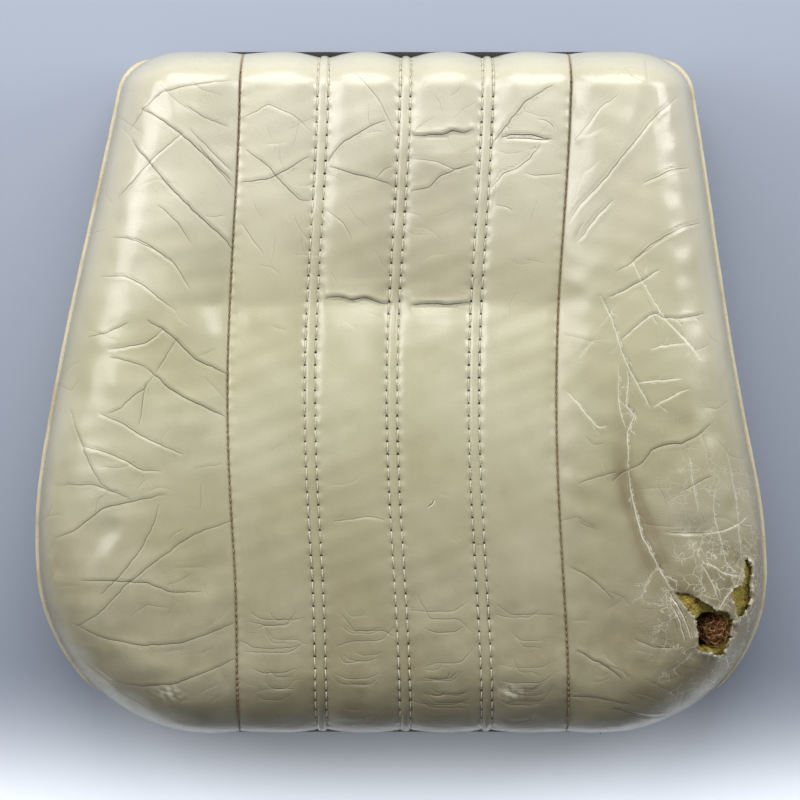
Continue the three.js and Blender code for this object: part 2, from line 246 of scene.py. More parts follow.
@dataclass(frozen=True)
class Plan:
    """Outline and crown of the cushion, as the CAD source has them, in metres."""

    depth: float
    seam: float
    front_width: float = 0.522
    rear_width: float = 0.396
    taper_length: float = 0.365
    taper_ease: float = 0.070
    front_corner: float = 0.120
    top: float = 0.120
    edge: float = 0.076
    side_roll: float = 0.040
    front_roll: float = 0.062
    rear_roll: float = 0.027
    bolster_rise: float = 0.009
    bow: float = 0.0032
    seam_bow: float = 0.0035
    seam_spread: float = 0.0036
    hollow: float = 0.0080
    hollow_y: float = 0.066
    hollow_rear: float = 0.085
    hollow_front: float = 0.045
    bow_from: float = 0.004
    bow_full: float = 0.060
    press_from: float = 0.070
    press_full: float = 0.100

    @property
    def rear_y(self) -> float:
        """The rear edge."""
        return self.depth / 2

    @property
    def corner_y(self) -> float:
        """Where the front corners start."""
        return self.front_corner - self.depth / 2

    @property
    def corner_x(self) -> float:
        """The centre of the right front corner."""
        return self.front_width / 2 - self.front_corner

    def side_line(self, y: np.ndarray) -> np.ndarray:
        """Half the width between the side lines, before the corners are cut.

        Args:
            y: places along the cushion.

        Returns:
            Half widths.
        """
        run = self.taper_length - self.taper_ease / 2
        slope = (self.front_width - self.rear_width) / 2 / run
        back = np.maximum(0, y - (self.rear_y - self.taper_length))
        ease = self.taper_ease
        eased = np.where(back < ease, back ** 2 / (2 * ease), back - ease / 2)
        return self.front_width / 2 - slope * eased

    def rear_share(self, y: np.ndarray) -> np.ndarray:
        """0 on the flat, rising to 1 at the rear edge."""
        return np.clip(1 - (self.rear_y - y) / self.rear_roll, 0, 1)

    def half_width(self, y: np.ndarray) -> np.ndarray:
        """Half the width of the outline.

        Args:
            y: places along the cushion.

        Returns:
            Half widths, with the corners cut.
        """
        into = np.clip(self.corner_y - y, 0, self.front_corner)
        cut = self.front_corner - np.sqrt(np.maximum(self.front_corner ** 2 - into ** 2, 0))
        rear = self.rear_share(y)
        return self.side_line(y) - cut - self.side_roll * (1 - np.sqrt(np.maximum(1 - rear ** 2, 0)))

    def height(self, x: np.ndarray, y: np.ndarray) -> np.ndarray:
        """Height of the plain crown with the bolsters' rise.

        Args:
            x: places across, unbowed.
            y: places along.

        Returns:
            Heights above the floor.
        """
        past = np.maximum(self.corner_y - y, 0)
        wide = np.maximum(np.abs(x) - self.corner_x, 0)
        distance = np.where(past > 0, self.front_corner - np.hypot(wide, past), self.side_line(y) - np.abs(x))
        share = 1 - smooth(y, -self.rear_y, self.corner_y)
        run = self.side_roll + (self.front_roll - self.side_roll) * share
        roll = np.minimum(1, np.hypot(np.clip(1 - distance / run, 0, 1), self.rear_share(y)))
        rise = np.sqrt(1 - roll ** 2)
        out = np.clip((np.abs(x) - self.seam) / np.maximum(self.half_width(y) - self.seam, 1e-6), 0, 1)
        return self.edge + rise * (self.top - self.edge + self.bolster_rise * np.sin(math.pi * out))

    def bowed(self, points: np.ndarray) -> np.ndarray:
        """Moves points sideways as the used cushion is bowed, more at the seams than at the edge.

        Args:
            points: any array whose last axis is x, y, z.

        Returns:
            The moved copy, also pressed down where the sitter's weight was. Nothing moves near the
            floor, where the steel base is.
        """
        moved = points.copy()
        x, y, z = points[..., 0], points[..., 1], points[..., 2]
        t = np.clip(0.5 - y / self.depth, 0, 1)
        inner = 1 - smooth(np.abs(x), self.seam, self.seam + 0.09)
        shift = self.bow * np.cos(2 * math.pi * t) + 0.001 - self.seam_bow * inner * np.sin(math.pi * t) ** 2
        shift = shift - self.seam_spread * inner * smooth(t, 0.72, 0.98) * smooth(x, 0.02, -0.11)
        moved[..., 0] = x + shift * smooth(z, self.bow_from, self.bow_full)
        away = np.hypot(y - self.hollow_y, 0.004) - 0.004
        sat = np.exp(-away / np.where(y > self.hollow_y, self.hollow_rear, self.hollow_front))
        sat = sat * (1 - smooth(np.abs(x), self.seam, self.seam + 0.06))
        moved[..., 2] = z - self.hollow * sat * smooth(z, self.press_from, self.press_full)
        return moved

    def outline(self, station: float) -> tuple[float, float]:
        """A point of the outline.

        Args:
            station: 0 is the rear middle, 1 to 2 the rear corner, 2 to 3 the side, 3 to 4 the front
                corner and 5 the front middle. Negative stations are on the left, and past 5 the run
                goes on round the other side.

        Returns:
            Its x and y.
        """
        t, side = abs(station), math.copysign(1, station)
        if t > 5:
            t, side = 10 - t, -side
        turn = (t % 1 or float(t > 0)) * math.pi / 2
        if t <= 1:
            y = self.rear_y
            x = t * (float(self.side_line(np.array(y))) - self.side_roll)
        elif t <= 2:
            y = self.rear_y - self.rear_roll * (1 - math.cos(turn))
            x = float(self.side_line(np.array(y))) - self.side_roll * (1 - math.sin(turn))
        elif t <= 3:
            start = self.rear_y - self.rear_roll
            y = start + (self.corner_y - start) * (t - 2)
            x = float(self.side_line(np.array(y)))
        elif t <= 4:
            x = self.corner_x + self.front_corner * math.cos(turn)
            y = self.corner_y - self.front_corner * math.sin(turn)
        else:
            x = self.corner_x * (5 - t)
            y = -self.rear_y
        return side * x, y

    def outline_run(self, start: float, end: float, spacing: float) -> np.ndarray:
        """Evenly spaced points of the outline.

        Args:
            start: first station.
            end: last station.
            spacing: between points, in metres.

        Returns:
            Points, one row each, x and y.
        """
        dense = np.array([self.outline(s) for s in np.linspace(start, end, 1500)])
        length = lengths_along(dense)[-1]
        return points_at(dense, np.linspace(0, length, max(3, int(length / spacing))))


# ---- Finishes ---------------------------------------------------------------

def add_node(tree: bpy.types.NodeTree, kind: str, props: dict | None = None, values: dict | None = None,
             links: dict | None = None) -> bpy.types.Node:
    """Adds one shader node.

    Args:
        tree: the material's node tree.
        kind: the node's type, without its ShaderNode prefix.
        props: its properties, by name.
        values: its sockets' values, by name or number.
        links: the output sockets that feed its sockets, by name or number.

    Returns:
        The node.
    """
    node = tree.nodes.new("ShaderNode" + kind)
    for key, value in (props or {}).items():
        setattr(node, key, value)
    for key, value in (values or {}).items():
        node.inputs[key].default_value = value
    for key, source in (links or {}).items():
        tree.links.new(source, node.inputs[key])
    return node


class Shader:
    """A material under construction: its tree, its Principled node and the sums that feed it."""

    def __init__(self, name: str, roughness: float, **sockets: float) -> None:
        """Starts a material.

        Args:
            name: the real material's name.
            roughness: of its bare surface.
            sockets: uniform values for the Principled node, with _ for a space in their names.
        """
        self.material = bpy.data.materials.new(name)
        self.material.use_nodes = True
        self.tree = self.material.node_tree
        self.tree.nodes.clear()
        self.skin = add_node(self.tree, "BsdfPrincipled", values={"Roughness": roughness})
        for key, value in sockets.items():
            self.skin.inputs[key.replace("_", " ")].default_value = value
        add_node(self.tree, "OutputMaterial", links={"Surface": self.skin.outputs["BSDF"]})
        self.place = add_node(self.tree, "TexCoord").outputs["Object"]

    def sum(self, operation: str, *terms: object) -> bpy.types.NodeSocket:
        """One Math node.

        Args:
            operation: its operation, such as "MULTIPLY".
            terms: sockets or numbers.

        Returns:
            Its output.
        """
        values = {k: t for k, t in enumerate(terms) if isinstance(t, (int, float))}
        links = {k: t for k, t in enumerate(terms) if not isinstance(t, (int, float))}
        return add_node(self.tree, "Math", {"operation": operation}, values, links).outputs[0]

    def span(self, value: bpy.types.NodeSocket, low: float, high: float, start: float = 0.0,
             end: float = 1.0) -> bpy.types.NodeSocket:
        """Maps a value's range smoothly and clamps it.

        Args:
            value: what is mapped.
            low: the value that gives start.
            high: the value that gives end.
            start: the result at low.
            end: the result at high.

        Returns:
            The mapped value.
        """
        values = {"From Min": low, "From Max": high, "To Min": start, "To Max": end}
        props = {"interpolation_type": "SMOOTHSTEP"}
        return add_node(self.tree, "MapRange", props, values, {"Value": value}).outputs["Result"]

    def noise(self, size: float, detail: float = 3.0, stretch: tuple = (1, 1, 1)) -> bpy.types.NodeSocket:
        """Noise on Object coordinates.

        Args:
            size: of a blotch, in metres.
            detail: octaves.
            stretch: scale of each axis.

        Returns:
            Values round 0.5.
        """
        place = add_node(self.tree, "Mapping", values={"Scale": stretch}, links={"Vector": self.place})
        return add_node(self.tree, "TexNoise", values={"Scale": 1 / size, "Detail": detail},
                        links={"Vector": place.outputs[0]}).outputs[0]

    def cells(self, size: float, feature: str = "DISTANCE_TO_EDGE",
              place: bpy.types.NodeSocket | None = None) -> bpy.types.NodeSocket:
        """A cell pattern on Object coordinates.

        Args:
            size: of a cell, in metres.
            feature: which measure of the cells is given.
            place: coordinates, if not the plain ones.

        Returns:
            The measure.
        """
        return add_node(self.tree, "TexVoronoi", {"feature": feature}, {"Scale": 1 / size},
                        {"Vector": place or self.place}).outputs["Distance"]

    def mix(self, share: object, first: object, second: object) -> bpy.types.NodeSocket:
        """Mixes two colours.

        Args:
            share: of the second, a socket or number.
            first: a socket or hex colour.
            second: a socket or hex colour.

        Returns:
            The mixed colour.
        """
        node = add_node(self.tree, "Mix", {"data_type": "RGBA"})
        for socket, given in ((0, share), (6, first), (7, second)):
            if isinstance(given, bpy.types.NodeSocket):
                self.tree.links.new(given, node.inputs[socket])
            else:
                node.inputs[socket].default_value = linear(given) if isinstance(given, str) else given
        return node.outputs[2]

    def part(self, attribute: str) -> list[bpy.types.NodeSocket]:
        """The three numbers of a vector attribute.

        Args:
            attribute: its name.

        Returns:
            Three sockets.
        """
        read = add_node(self.tree, "Attribute", {"attribute_name": attribute}).outputs["Vector"]
        return list(add_node(self.tree, "SeparateXYZ", links={0: read}).outputs)

    def colour(self, source: bpy.types.NodeSocket) -> None:
        """Feeds the base colour."""
        self.tree.links.new(source, self.skin.inputs["Base Color"])

    def rough(self, source: bpy.types.NodeSocket) -> None:
        """Feeds the roughness."""
        self.tree.links.new(source, self.skin.inputs["Roughness"])

    def bump(self, height: bpy.types.NodeSocket, depth: float) -> None:
        """Adds relief that is too fine to model, over any that is there.

        Args:
            height: from 0 to 1.
            depth: of a full step, in metres.
        """
        links = {"Height": height}
        if self.skin.inputs["Normal"].is_linked:
            links["Normal"] = self.skin.inputs["Normal"].links[0].from_socket
        node = add_node(self.tree, "Bump", values={"Strength": 1.0, "Distance": depth}, links=links)
        self.tree.links.new(node.outputs[0], self.skin.inputs["Normal"])


@dataclass(frozen=True)
class CoverLeather:
    """Pigment-finished cowhide, aged to olive cream: glossy on the crests, cracked through its paint."""

    pale: str = "#cec9ab"
    mid: str = "#bfb996"
    deep: str = "#a09871"
    painted_rear_light: str = "#d5cfbb"
    crease_shade_and_dirt: str = "#786d4e"
    bare_crack_and_highlight: str = "#efe9d2"
    soil_and_shade: str = "#786742"
    dark_brown_and_shade: str = "#4c3a22"
    crackle_cell: float = 0.011
    fine_cell: float = 0.0042
    grain_cell: float = 0.0011
    row_pitch: float = 0.058
    row_offset: float = 0.0037
    stitch_pitch: float = 0.009

    def material(self, name: str, holes: bool = False) -> bpy.types.Material:
        """Makes the leather.

        Args:
            name: the material's name.
            holes: whether the twin rows' needle holes are in it.

        Returns:
            The material.
        """
        s = Shader(name, 0.36, Coat_Weight=0.9, Coat_Roughness=0.23)
        crackle, soil_and_shade, fray = s.part("wear")
        blotch = s.noise(0.12, 4)
        colour = s.mix(s.span(blotch, 0.35, 0.65), self.mid, self.pale)
        colour = s.mix(s.span(s.noise(0.035, 5), 0.5, 0.8, 0.0, 0.35), colour, self.deep)
        specks = s.span(s.noise(0.003, 2), 0.62, 0.8, 0.0, 0.18)
        colour = s.mix(specks, colour, self.deep)
        # Painted light: the leather grows paler and more neutral towards the rear, where the rear lights fall on it.
        along = add_node(s.tree, "SeparateXYZ", links={0: s.place}).outputs[1]
        colour = s.mix(s.span(along, 0.0, 0.21, 0.0, 0.6), colour, self.painted_rear_light)
        # Hair-fine crazing of the paint, drawn 0.4 mm wide so that it shows.
        warp = add_node(s.tree, "TexNoise", values={"Scale": 60, "Detail": 3}, links={"Vector": s.place})
        offset = add_node(s.tree, "VectorMath", {"operation": "SCALE"}, {"Scale": 0.012},
                          {0: warp.outputs["Color"]}).outputs[0]
        wobbly = add_node(s.tree, "VectorMath", {"operation": "ADD"}, {}, {0: s.place, 1: offset}).outputs[0]
        gate = s.span(s.noise(0.02, 2), 0.42, 0.6)
        wide = s.sum("MULTIPLY", s.span(s.cells(self.crackle_cell, place=wobbly), 0.035, 0.0), gate)
        wide = s.sum("MULTIPLY", wide, crackle)
        fine = s.sum("MULTIPLY", s.span(s.cells(self.fine_cell, place=wobbly), 0.07, 0.0),
                     s.span(s.noise(0.013, 2), 0.5, 0.62))
        fine = s.sum("MULTIPLY", fine, crackle)
        net = s.sum("MAXIMUM", wide, fine)
        flaked = s.sum("MULTIPLY", net, s.span(crackle, 0.55, 0.9))
        # The craze lines are darkened a little: dirt and painted shade in them.
        colour = s.mix(s.sum("MULTIPLY", net, 0.16), colour, self.crease_shade_and_dirt)
        # Dirt and painted shade from the wear attribute's second share, mottled.
        mottled_soil_and_shade = s.sum("MULTIPLY", soil_and_shade, s.span(s.noise(0.016, 4), 0.2, 0.8, 0.72, 1.0))
        colour = s.mix(s.sum("MULTIPLY", mottled_soil_and_shade, 0.8), colour, self.soil_and_shade)
        colour = s.mix(s.sum("MULTIPLY", flaked, 0.7), colour, self.bare_crack_and_highlight)
        frayed = s.span(s.noise(0.0022, 3), 0.3, 0.7, -0.16, 0.2)
        broken = s.span(s.noise(0.005, 3), 0.34, 0.58, 0.25, 1.0)
        lines = s.sum("MULTIPLY", net, 0.4)
        # Each crease is painted: shade in its core, and where it is a fold a painted highlight along its lit raised
        # edge. Along white cracks that edge is bare paint, and a split's core is painted dark brown as the shade inside
        # it.
        for layer in ("crease_a", "crease_b", "crease_c"):
            signed, strength, tone = s.part(layer)
            core = s.span(s.sum("ABSOLUTE", signed), 0.15, 0.04)
            core = s.sum("MULTIPLY", core, strength)
            lip_highlight_and_bare_edge = s.span(s.sum("ABSOLUTE", s.sum("ADD", signed, 0.24)), 0.2, 0.02)
            lip_highlight_and_bare_edge = s.sum("MULTIPLY", lip_highlight_and_bare_edge, strength)
            shade = s.sum("MULTIPLY", core, s.span(tone, 1.0, 0.4, 0.2, 0.92))
            weaker = s.sum("MULTIPLY", s.sum("SUBTRACT", 1.0, strength), 0.26)
            bare = s.sum("ADD", s.sum("ADD", s.sum("ABSOLUTE", signed), frayed), weaker)
            bare = s.sum("MULTIPLY", s.span(bare, 0.36, 0.1), broken)
            bare = s.sum("MULTIPLY", s.sum("MULTIPLY", bare, strength), s.span(tone, 0.5, 1.0))
            colour = s.mix(s.sum("MULTIPLY", bare, 0.9), colour, self.bare_crack_and_highlight)
            colour = s.mix(s.sum("MULTIPLY", lip_highlight_and_bare_edge, s.span(tone, 0.0, 1.0, 0.28, 0.9)), colour, self.bare_crack_and_highlight)
            colour = s.mix(shade, colour, self.crease_shade_and_dirt)
            colour = s.mix(s.sum("MULTIPLY", core, s.span(tone, 1.2, 2.0)), colour, self.dark_brown_and_shade)
            lines = s.sum("ADD", lines, core)
        colour = s.mix(fray, colour, self.bare_crack_and_highlight)
        if holes:
            needle_hole_shade, groove = self.needle_holes(s)
            # The groove along each row is darkened with dirt and painted shade, and each needle pit is painted near
            # black as the shade inside it.
            colour = s.mix(s.sum("MULTIPLY", groove, 0.4), colour, self.soil_and_shade)
            colour = s.mix(needle_hole_shade, colour, "#15110b")
            lines = s.sum("ADD", lines, needle_hole_shade)
        s.colour(colour)
        s.rough(s.sum("ADD", s.span(s.noise(0.05, 4), 0.3, 0.7, 0.27, 0.42), s.sum("MULTIPLY", mottled_soil_and_shade, 0.25)))
        s.bump(s.cells(self.grain_cell, "F1"), 0.00007)
        s.bump(s.sum("SUBTRACT", 1.0, lines), 0.00035)
        return s.material

    def needle_holes(self, s: Shader) -> tuple[bpy.types.NodeSocket, bpy.types.NodeSocket]:
        """Draws the pits that the twin rows' needle left, on the flattened panel's own map.

        Args:
            s: the leather under construction.

        Returns:
            Masks of the needle pits, which are painted near black as the shade inside them, and of the groove along
            each row, darkened with dirt and painted shade.
        """
        flat = add_node(s.tree, "UVMap", {"uv_map": "flat"}).outputs[0]
        across, along, _ = add_node(s.tree, "SeparateXYZ", links={0: flat}).outputs
        pair = s.sum("ROUND", s.sum("DIVIDE", across, self.row_pitch))
        off_pair = s.sum("ABSOLUTE", s.sum("SUBTRACT", across, s.sum("MULTIPLY", pair, self.row_pitch)))
        off_row = s.sum("ABSOLUTE", s.sum("SUBTRACT", off_pair, self.row_offset))
        sewn = s.sum("LESS_THAN", s.sum("ABSOLUTE", across), 1.6 * self.row_pitch)
        step = s.sum("FRACT", s.sum("ADD", s.sum("DIVIDE", along, self.stitch_pitch), 0.5))
        off_hole = s.sum("MULTIPLY", s.sum("SUBTRACT", step, 0.5), self.stitch_pitch)
        reach = s.sum("SQRT", s.sum("ADD", s.sum("POWER", off_row, 2.0), s.sum("POWER", off_hole, 2.0)))
        needle_hole_shade = s.sum("MULTIPLY", s.span(reach, 0.00095, 0.00055), sewn)
        groove = s.sum("MULTIPLY", s.span(off_row, 0.0012, 0.0), sewn)
        return needle_hole_shade, groove


@dataclass(frozen=True)
class PipingLeather:
    """Thin split leather drawn over a cord: creamier than the cover, flecked with brown."""

    pale: str = "#d8ceae"
    worn: str = "#c4b28e"

    def material(self) -> bpy.types.Material:
        """Makes the piping's leather.

        Returns:
            The material.
        """
        s = Shader("piping_split_leather", 0.42, Coat_Weight=0.2, Coat_Roughness=0.25)
        colour = s.mix(s.span(s.noise(0.02, 5), 0.45, 0.75), self.pale, self.worn)
        s.colour(s.mix(s.span(s.noise(0.0016, 3), 0.55, 0.75, 0.0, 0.4), colour, "#8c7450"))
        s.rough(s.span(s.noise(0.01, 3), 0.3, 0.7, 0.36, 0.5))
        s.bump(s.noise(0.0012, 3), 0.00015)
        return s.material


class Weave(Enum):
    """How a cloth is made."""

    TWILL = "twill"
    PLAIN = "plain"
    GRAINED = "grained"


@dataclass(frozen=True)
class Cloth:
    """A woven or coated cloth: threads cross at a real pitch, and it is darker between them."""

    name: str
    pale: str
    deep: str
    pitch: float
    weave: Weave
    roughness: float = 0.9
    sheen: float = 0.2

    def material(self) -> bpy.types.Material:
        """Makes the cloth.

        Returns:
            The material.
        """
        s = Shader(self.name, self.roughness, Sheen_Weight=self.sheen, Sheen_Roughness=0.5)
        if self.weave is Weave.GRAINED:
            threads = s.cells(self.pitch, "F1")
        else:
            x, y, z = add_node(s.tree, "SeparateXYZ", links={0: s.place}).outputs
            turn = 1.0 if self.weave is Weave.TWILL else 0.0
            pace = 2 * math.pi / self.pitch
            over = s.sum("SINE", s.sum("MULTIPLY", s.sum("ADD", x, s.sum("MULTIPLY", y, turn)), pace))
            level = s.sum("ADD", s.sum("MULTIPLY", y, 1.0 - 0.5 * turn), z)
            under = s.sum("SINE", s.sum("MULTIPLY", level, pace))
            threads = s.sum("ADD", s.sum("MULTIPLY", s.sum("MULTIPLY", over, under), 0.5), 0.5)
        colour = s.mix(threads, self.deep, self.pale)
        s.colour(s.mix(s.span(s.noise(0.03, 5), 0.5, 0.8, 0.0, 0.5), colour, self.deep))
        s.bump(threads, self.pitch * 0.25)
        return s.material


@dataclass(frozen=True)
class AgedFoam:
    """Polyurethane foam gone mustard: open cells with painted shade in them, browner where air and dirt reach it."""

    pale: str = "#c9ac4e"
    green: str = "#9a8f3e"
    dark_brown_and_shade: str = "#5b421d"
    cell: float = 0.0012

    def material(self) -> bpy.types.Material:
        """Makes the foam.

        Returns:
            The material.
        """
        s = Shader("aged_polyurethane_foam", 0.95, Subsurface_Weight=0.0)
        colour = s.mix(s.span(s.noise(0.012, 4), 0.35, 0.65), self.green, self.pale)
        # Painted shade: the open cells are darkened with the dark brown.
        pore_shade = s.span(s.cells(self.cell, "F1"), 0.55, 0.15)
        colour = s.mix(s.sum("MULTIPLY", pore_shade, 0.5), colour, self.dark_brown_and_shade)
        s.colour(s.mix(s.span(s.noise(0.007, 5), 0.52, 0.66, 0.0, 0.85), colour, self.dark_brown_and_shade))
        s.bump(s.cells(self.cell, "F1"), 0.0006)
        s.bump(s.noise(0.004, 4), 0.0015)
        return s.material


@dataclass(frozen=True)
class CurledHair:
    """Rubberised horse and coir hair: springy red-brown curls with a latex glint."""

    pale: str = "#a06a35"
    deep: str = "#3a2412"

    def material(self, name: str) -> bpy.types.Material:
        """Makes the hair.

        Args:
            name: the material's name.

        Returns:
            The material.
        """
        s = Shader(name, 0.55, Sheen_Weight=0.2)
        s.colour(s.mix(s.span(s.noise(0.003, 4), 0.38, 0.66), self.deep, self.pale))
        s.bump(s.noise(0.0011, 5, (1, 0.3, 1)), 0.0012)
        return s.material


@dataclass(frozen=True)
class Metal:
    """Steel, as drawn wire or under satin black paint, with a little rust in patches."""

    name: str
    bright: str
    dull: str
    metallic: float
    roughness: float

    def material(self) -> bpy.types.Material:
        """Makes the metal.

        Returns:
            The material.
        """
        s = Shader(self.name, self.roughness, Metallic=self.metallic)
        colour = s.mix(s.span(s.noise(0.015, 5), 0.45, 0.7), self.bright, self.dull)
        s.colour(s.mix(s.span(s.noise(0.006, 6), 0.62, 0.74, 0.0, 0.8), colour, "#5b3a22"))
        s.rough(s.span(s.noise(0.004, 4), 0.3, 0.7, self.roughness - 0.1, self.roughness + 0.15))
        s.bump(s.noise(0.0015, 3), 0.0001)
        return s.material


@dataclass(frozen=True)
class Thread:
    """Twisted bonded sewing thread, mottled between a pale and a deeper tone."""

    name: str
    pale: str
    deep: str

    def material(self) -> bpy.types.Material:
        """Makes the thread.

        Returns:
            The material.
        """
        s = Shader(self.name, 0.5, Sheen_Weight=0.3)
        s.colour(s.mix(s.span(s.noise(0.0012, 3), 0.4, 0.7), self.pale, self.deep))
        s.bump(s.noise(0.0005, 2, (1, 2.5, 1)), 0.0002)
        return s.material


# ---- Marks of wear ----------------------------------------------------------

class Mark(Enum):
    """What a line in the leather is: its tone for the shader, and how its lips stand."""

    FOLD = 0.0
    WHITE_CRACK = 1.0
    SPLIT = 2.0


@dataclass(frozen=True)
class Crease:
    """A line that use has pressed or cracked into the leather.

    Its points are in millimetres in the row frame, across and along.
    """

    points: tuple
    mark: Mark = Mark.FOLD
    strength: float = 0.8
    depth: float = 0.6
    step: float = 0.0
    width: float = 1.0

    def path(self, seed: int) -> np.ndarray:
        """The line's points in metres, rounded at its corners and slightly unsteady.

        Args:
            seed: picks the unsteadiness.

        Returns:
            Points about 1.5 mm apart.
        """
        given = np.array(self.points, float) * MM
        length = lengths_along(given)[-1]
        line = points_at(given, np.linspace(0, length, max(4, int(length / (1.5 * MM)))))
        for _ in range(2):
            line[1:-1] = (line[:-2] + 2 * line[1:-1] + line[2:]) / 4
        draw = np.random.default_rng(seed)
        shake = np.convolve(draw.normal(0, 1, len(line) + 2), [0.3, 0.4, 0.3], "valid")
        run = np.gradient(line, axis=0)
        side = np.stack([-run[:, 1], run[:, 0]], axis=1)
        side /= np.maximum(np.linalg.norm(side, axis=1, keepdims=True), 1e-9)
        return line + side * shake[:, None] * 0.35 * MM


def nearest_on(line: np.ndarray, x: np.ndarray, y: np.ndarray) -> tuple[np.ndarray, np.ndarray]:
    """Signed distance to a line, and the share of its length where it is nearest.

    Args:
        line: its points.
        x: places across.
        y: places along.

    Returns:
        Distances, positive on the line's left, and shares from 0 to 1.
    """
    best = np.full(x.shape, 1e9)
    signed = np.full(x.shape, 1e9)
    share = np.zeros(x.shape)
    for k in range(len(line) - 1):
        start, run = line[k], line[k + 1] - line[k]
        size = max(float(run @ run), 1e-14)
        px, py = x - start[0], y - start[1]
        t = np.clip((px * run[0] + py * run[1]) / size, 0, 1)
        gap = np.hypot(px - t * run[0], py - t * run[1])
        near = gap < best
        best = np.where(near, gap, best)
        turn = run[0] * py - run[1] * px
        signed = np.where(near, np.where(turn < 0, -gap, gap), signed)
        share = np.where(near, (k + t) / (len(line) - 1), share)
    return signed, share


class WearMap:
    """Collects creases for one panel: the relief they press and the attributes its leather reads."""

    REACH = 3.2 * MM

    def __init__(self, x: np.ndarray, y: np.ndarray) -> None:
        """Starts an unworn panel.

        Args:
            x: places across of its points.
            y: places along.
        """
        self.x, self.y = x, y
        self.relief = np.zeros(x.shape)
        self.layers = [np.stack([np.ones(x.shape), np.zeros(x.shape), np.zeros(x.shape)], axis=-1)
                       for _ in range(3)]
        self.wear = np.zeros(x.shape + (3,))

    def press(self, crease: Crease, seed: int) -> None:
        """Presses one crease into the panel.

        Args:
            crease: the line and its kind.
            seed: picks its unsteadiness.
        """
        line = crease.path(seed)
        near = near_line(line, self.x, self.y, 12 * MM)
        if not near.any():
            return
        signed, share = nearest_on(line, self.x[near], self.y[near])
        gap = np.abs(signed)
        taper = np.clip(4 * share * (1 - share), 0, 1) ** 0.35
        width = crease.width * MM
        valley = np.exp(-(gap / width) ** 2)
        shoulder = np.exp(-((gap - 2.1 * width) / (1.2 * width)) ** 2)
        step = np.tanh(signed / (0.8 * width)) * np.exp(-gap / (5.5 * MM))
        fold = 0.6 * crease.depth * (0.3 * shoulder - valley)
        self.relief[near] += taper * MM * (fold + 0.8 * crease.step * step)
        mask = crease.strength * taper * smooth(gap, self.REACH, 0.55 * self.REACH)
        tone = np.full(mask.shape, crease.mark.value)
        value = np.stack([np.clip(signed / self.REACH, -1, 1), mask, tone], axis=-1)
        shown = mask > 0.02
        clash = [int(((layer[near][:, 1] > 0.02) & shown).sum()) for layer in self.layers]
        layer = self.layers[int(np.argmin(clash))]
        kept = layer[near]
        kept[mask > kept[:, 1]] = value[mask > kept[:, 1]]
        layer[near] = kept

    def soften(self) -> None:
        """Keeps every share inside its range."""
        self.wear = np.clip(self.wear, 0, 1)


def lines(mark: Mark, strength: float, depth: float, step: float, *routes: tuple) -> list[Crease]:
    """Several creases of one kind.

    Args:
        mark: their kind.
        strength: how plainly they are drawn.
        depth: of the valley, in millimetres.
        step: by which one lip stands above the other, in millimetres.
        routes: each crease's points, in millimetres.

    Returns:
        The creases.
    """
    return [Crease(route, mark, strength, depth, step) for route in routes]


def branches(cracks: list, seed: int) -> list[Crease]:
    """Short side cracks that run off larger ones.

    Args:
        cracks: the larger ones.
        seed: picks where they leave, and which way.

    Returns:
        The side cracks alone.
    """
    draw = np.random.default_rng(seed)
    found = []
    for number, crack in enumerate(cracks):
        route = crack.path(seed + number) / MM
        for k in range(3, len(route) - 2, 3):
            if draw.uniform() > 0.25 + 0.55 * (route[k, 1] < -95):
                continue
            run = route[k + 1] - route[k - 1]
            turn = math.atan2(run[1], run[0]) + draw.choice((-1, 1)) * draw.uniform(0.45, 1.35)
            half = draw.uniform(1.5, 6.0)
            middle = route[k] + half * np.array([math.cos(turn), math.sin(turn)])
            turn += draw.normal(0, 0.5)
            end = middle + half * np.array([math.cos(turn), math.sin(turn)])
            strength = crack.strength * draw.uniform(0.25, 0.7)
            found.append(Crease((tuple(route[k]), tuple(middle), tuple(end)), crack.mark, strength, 0.15))
    return found


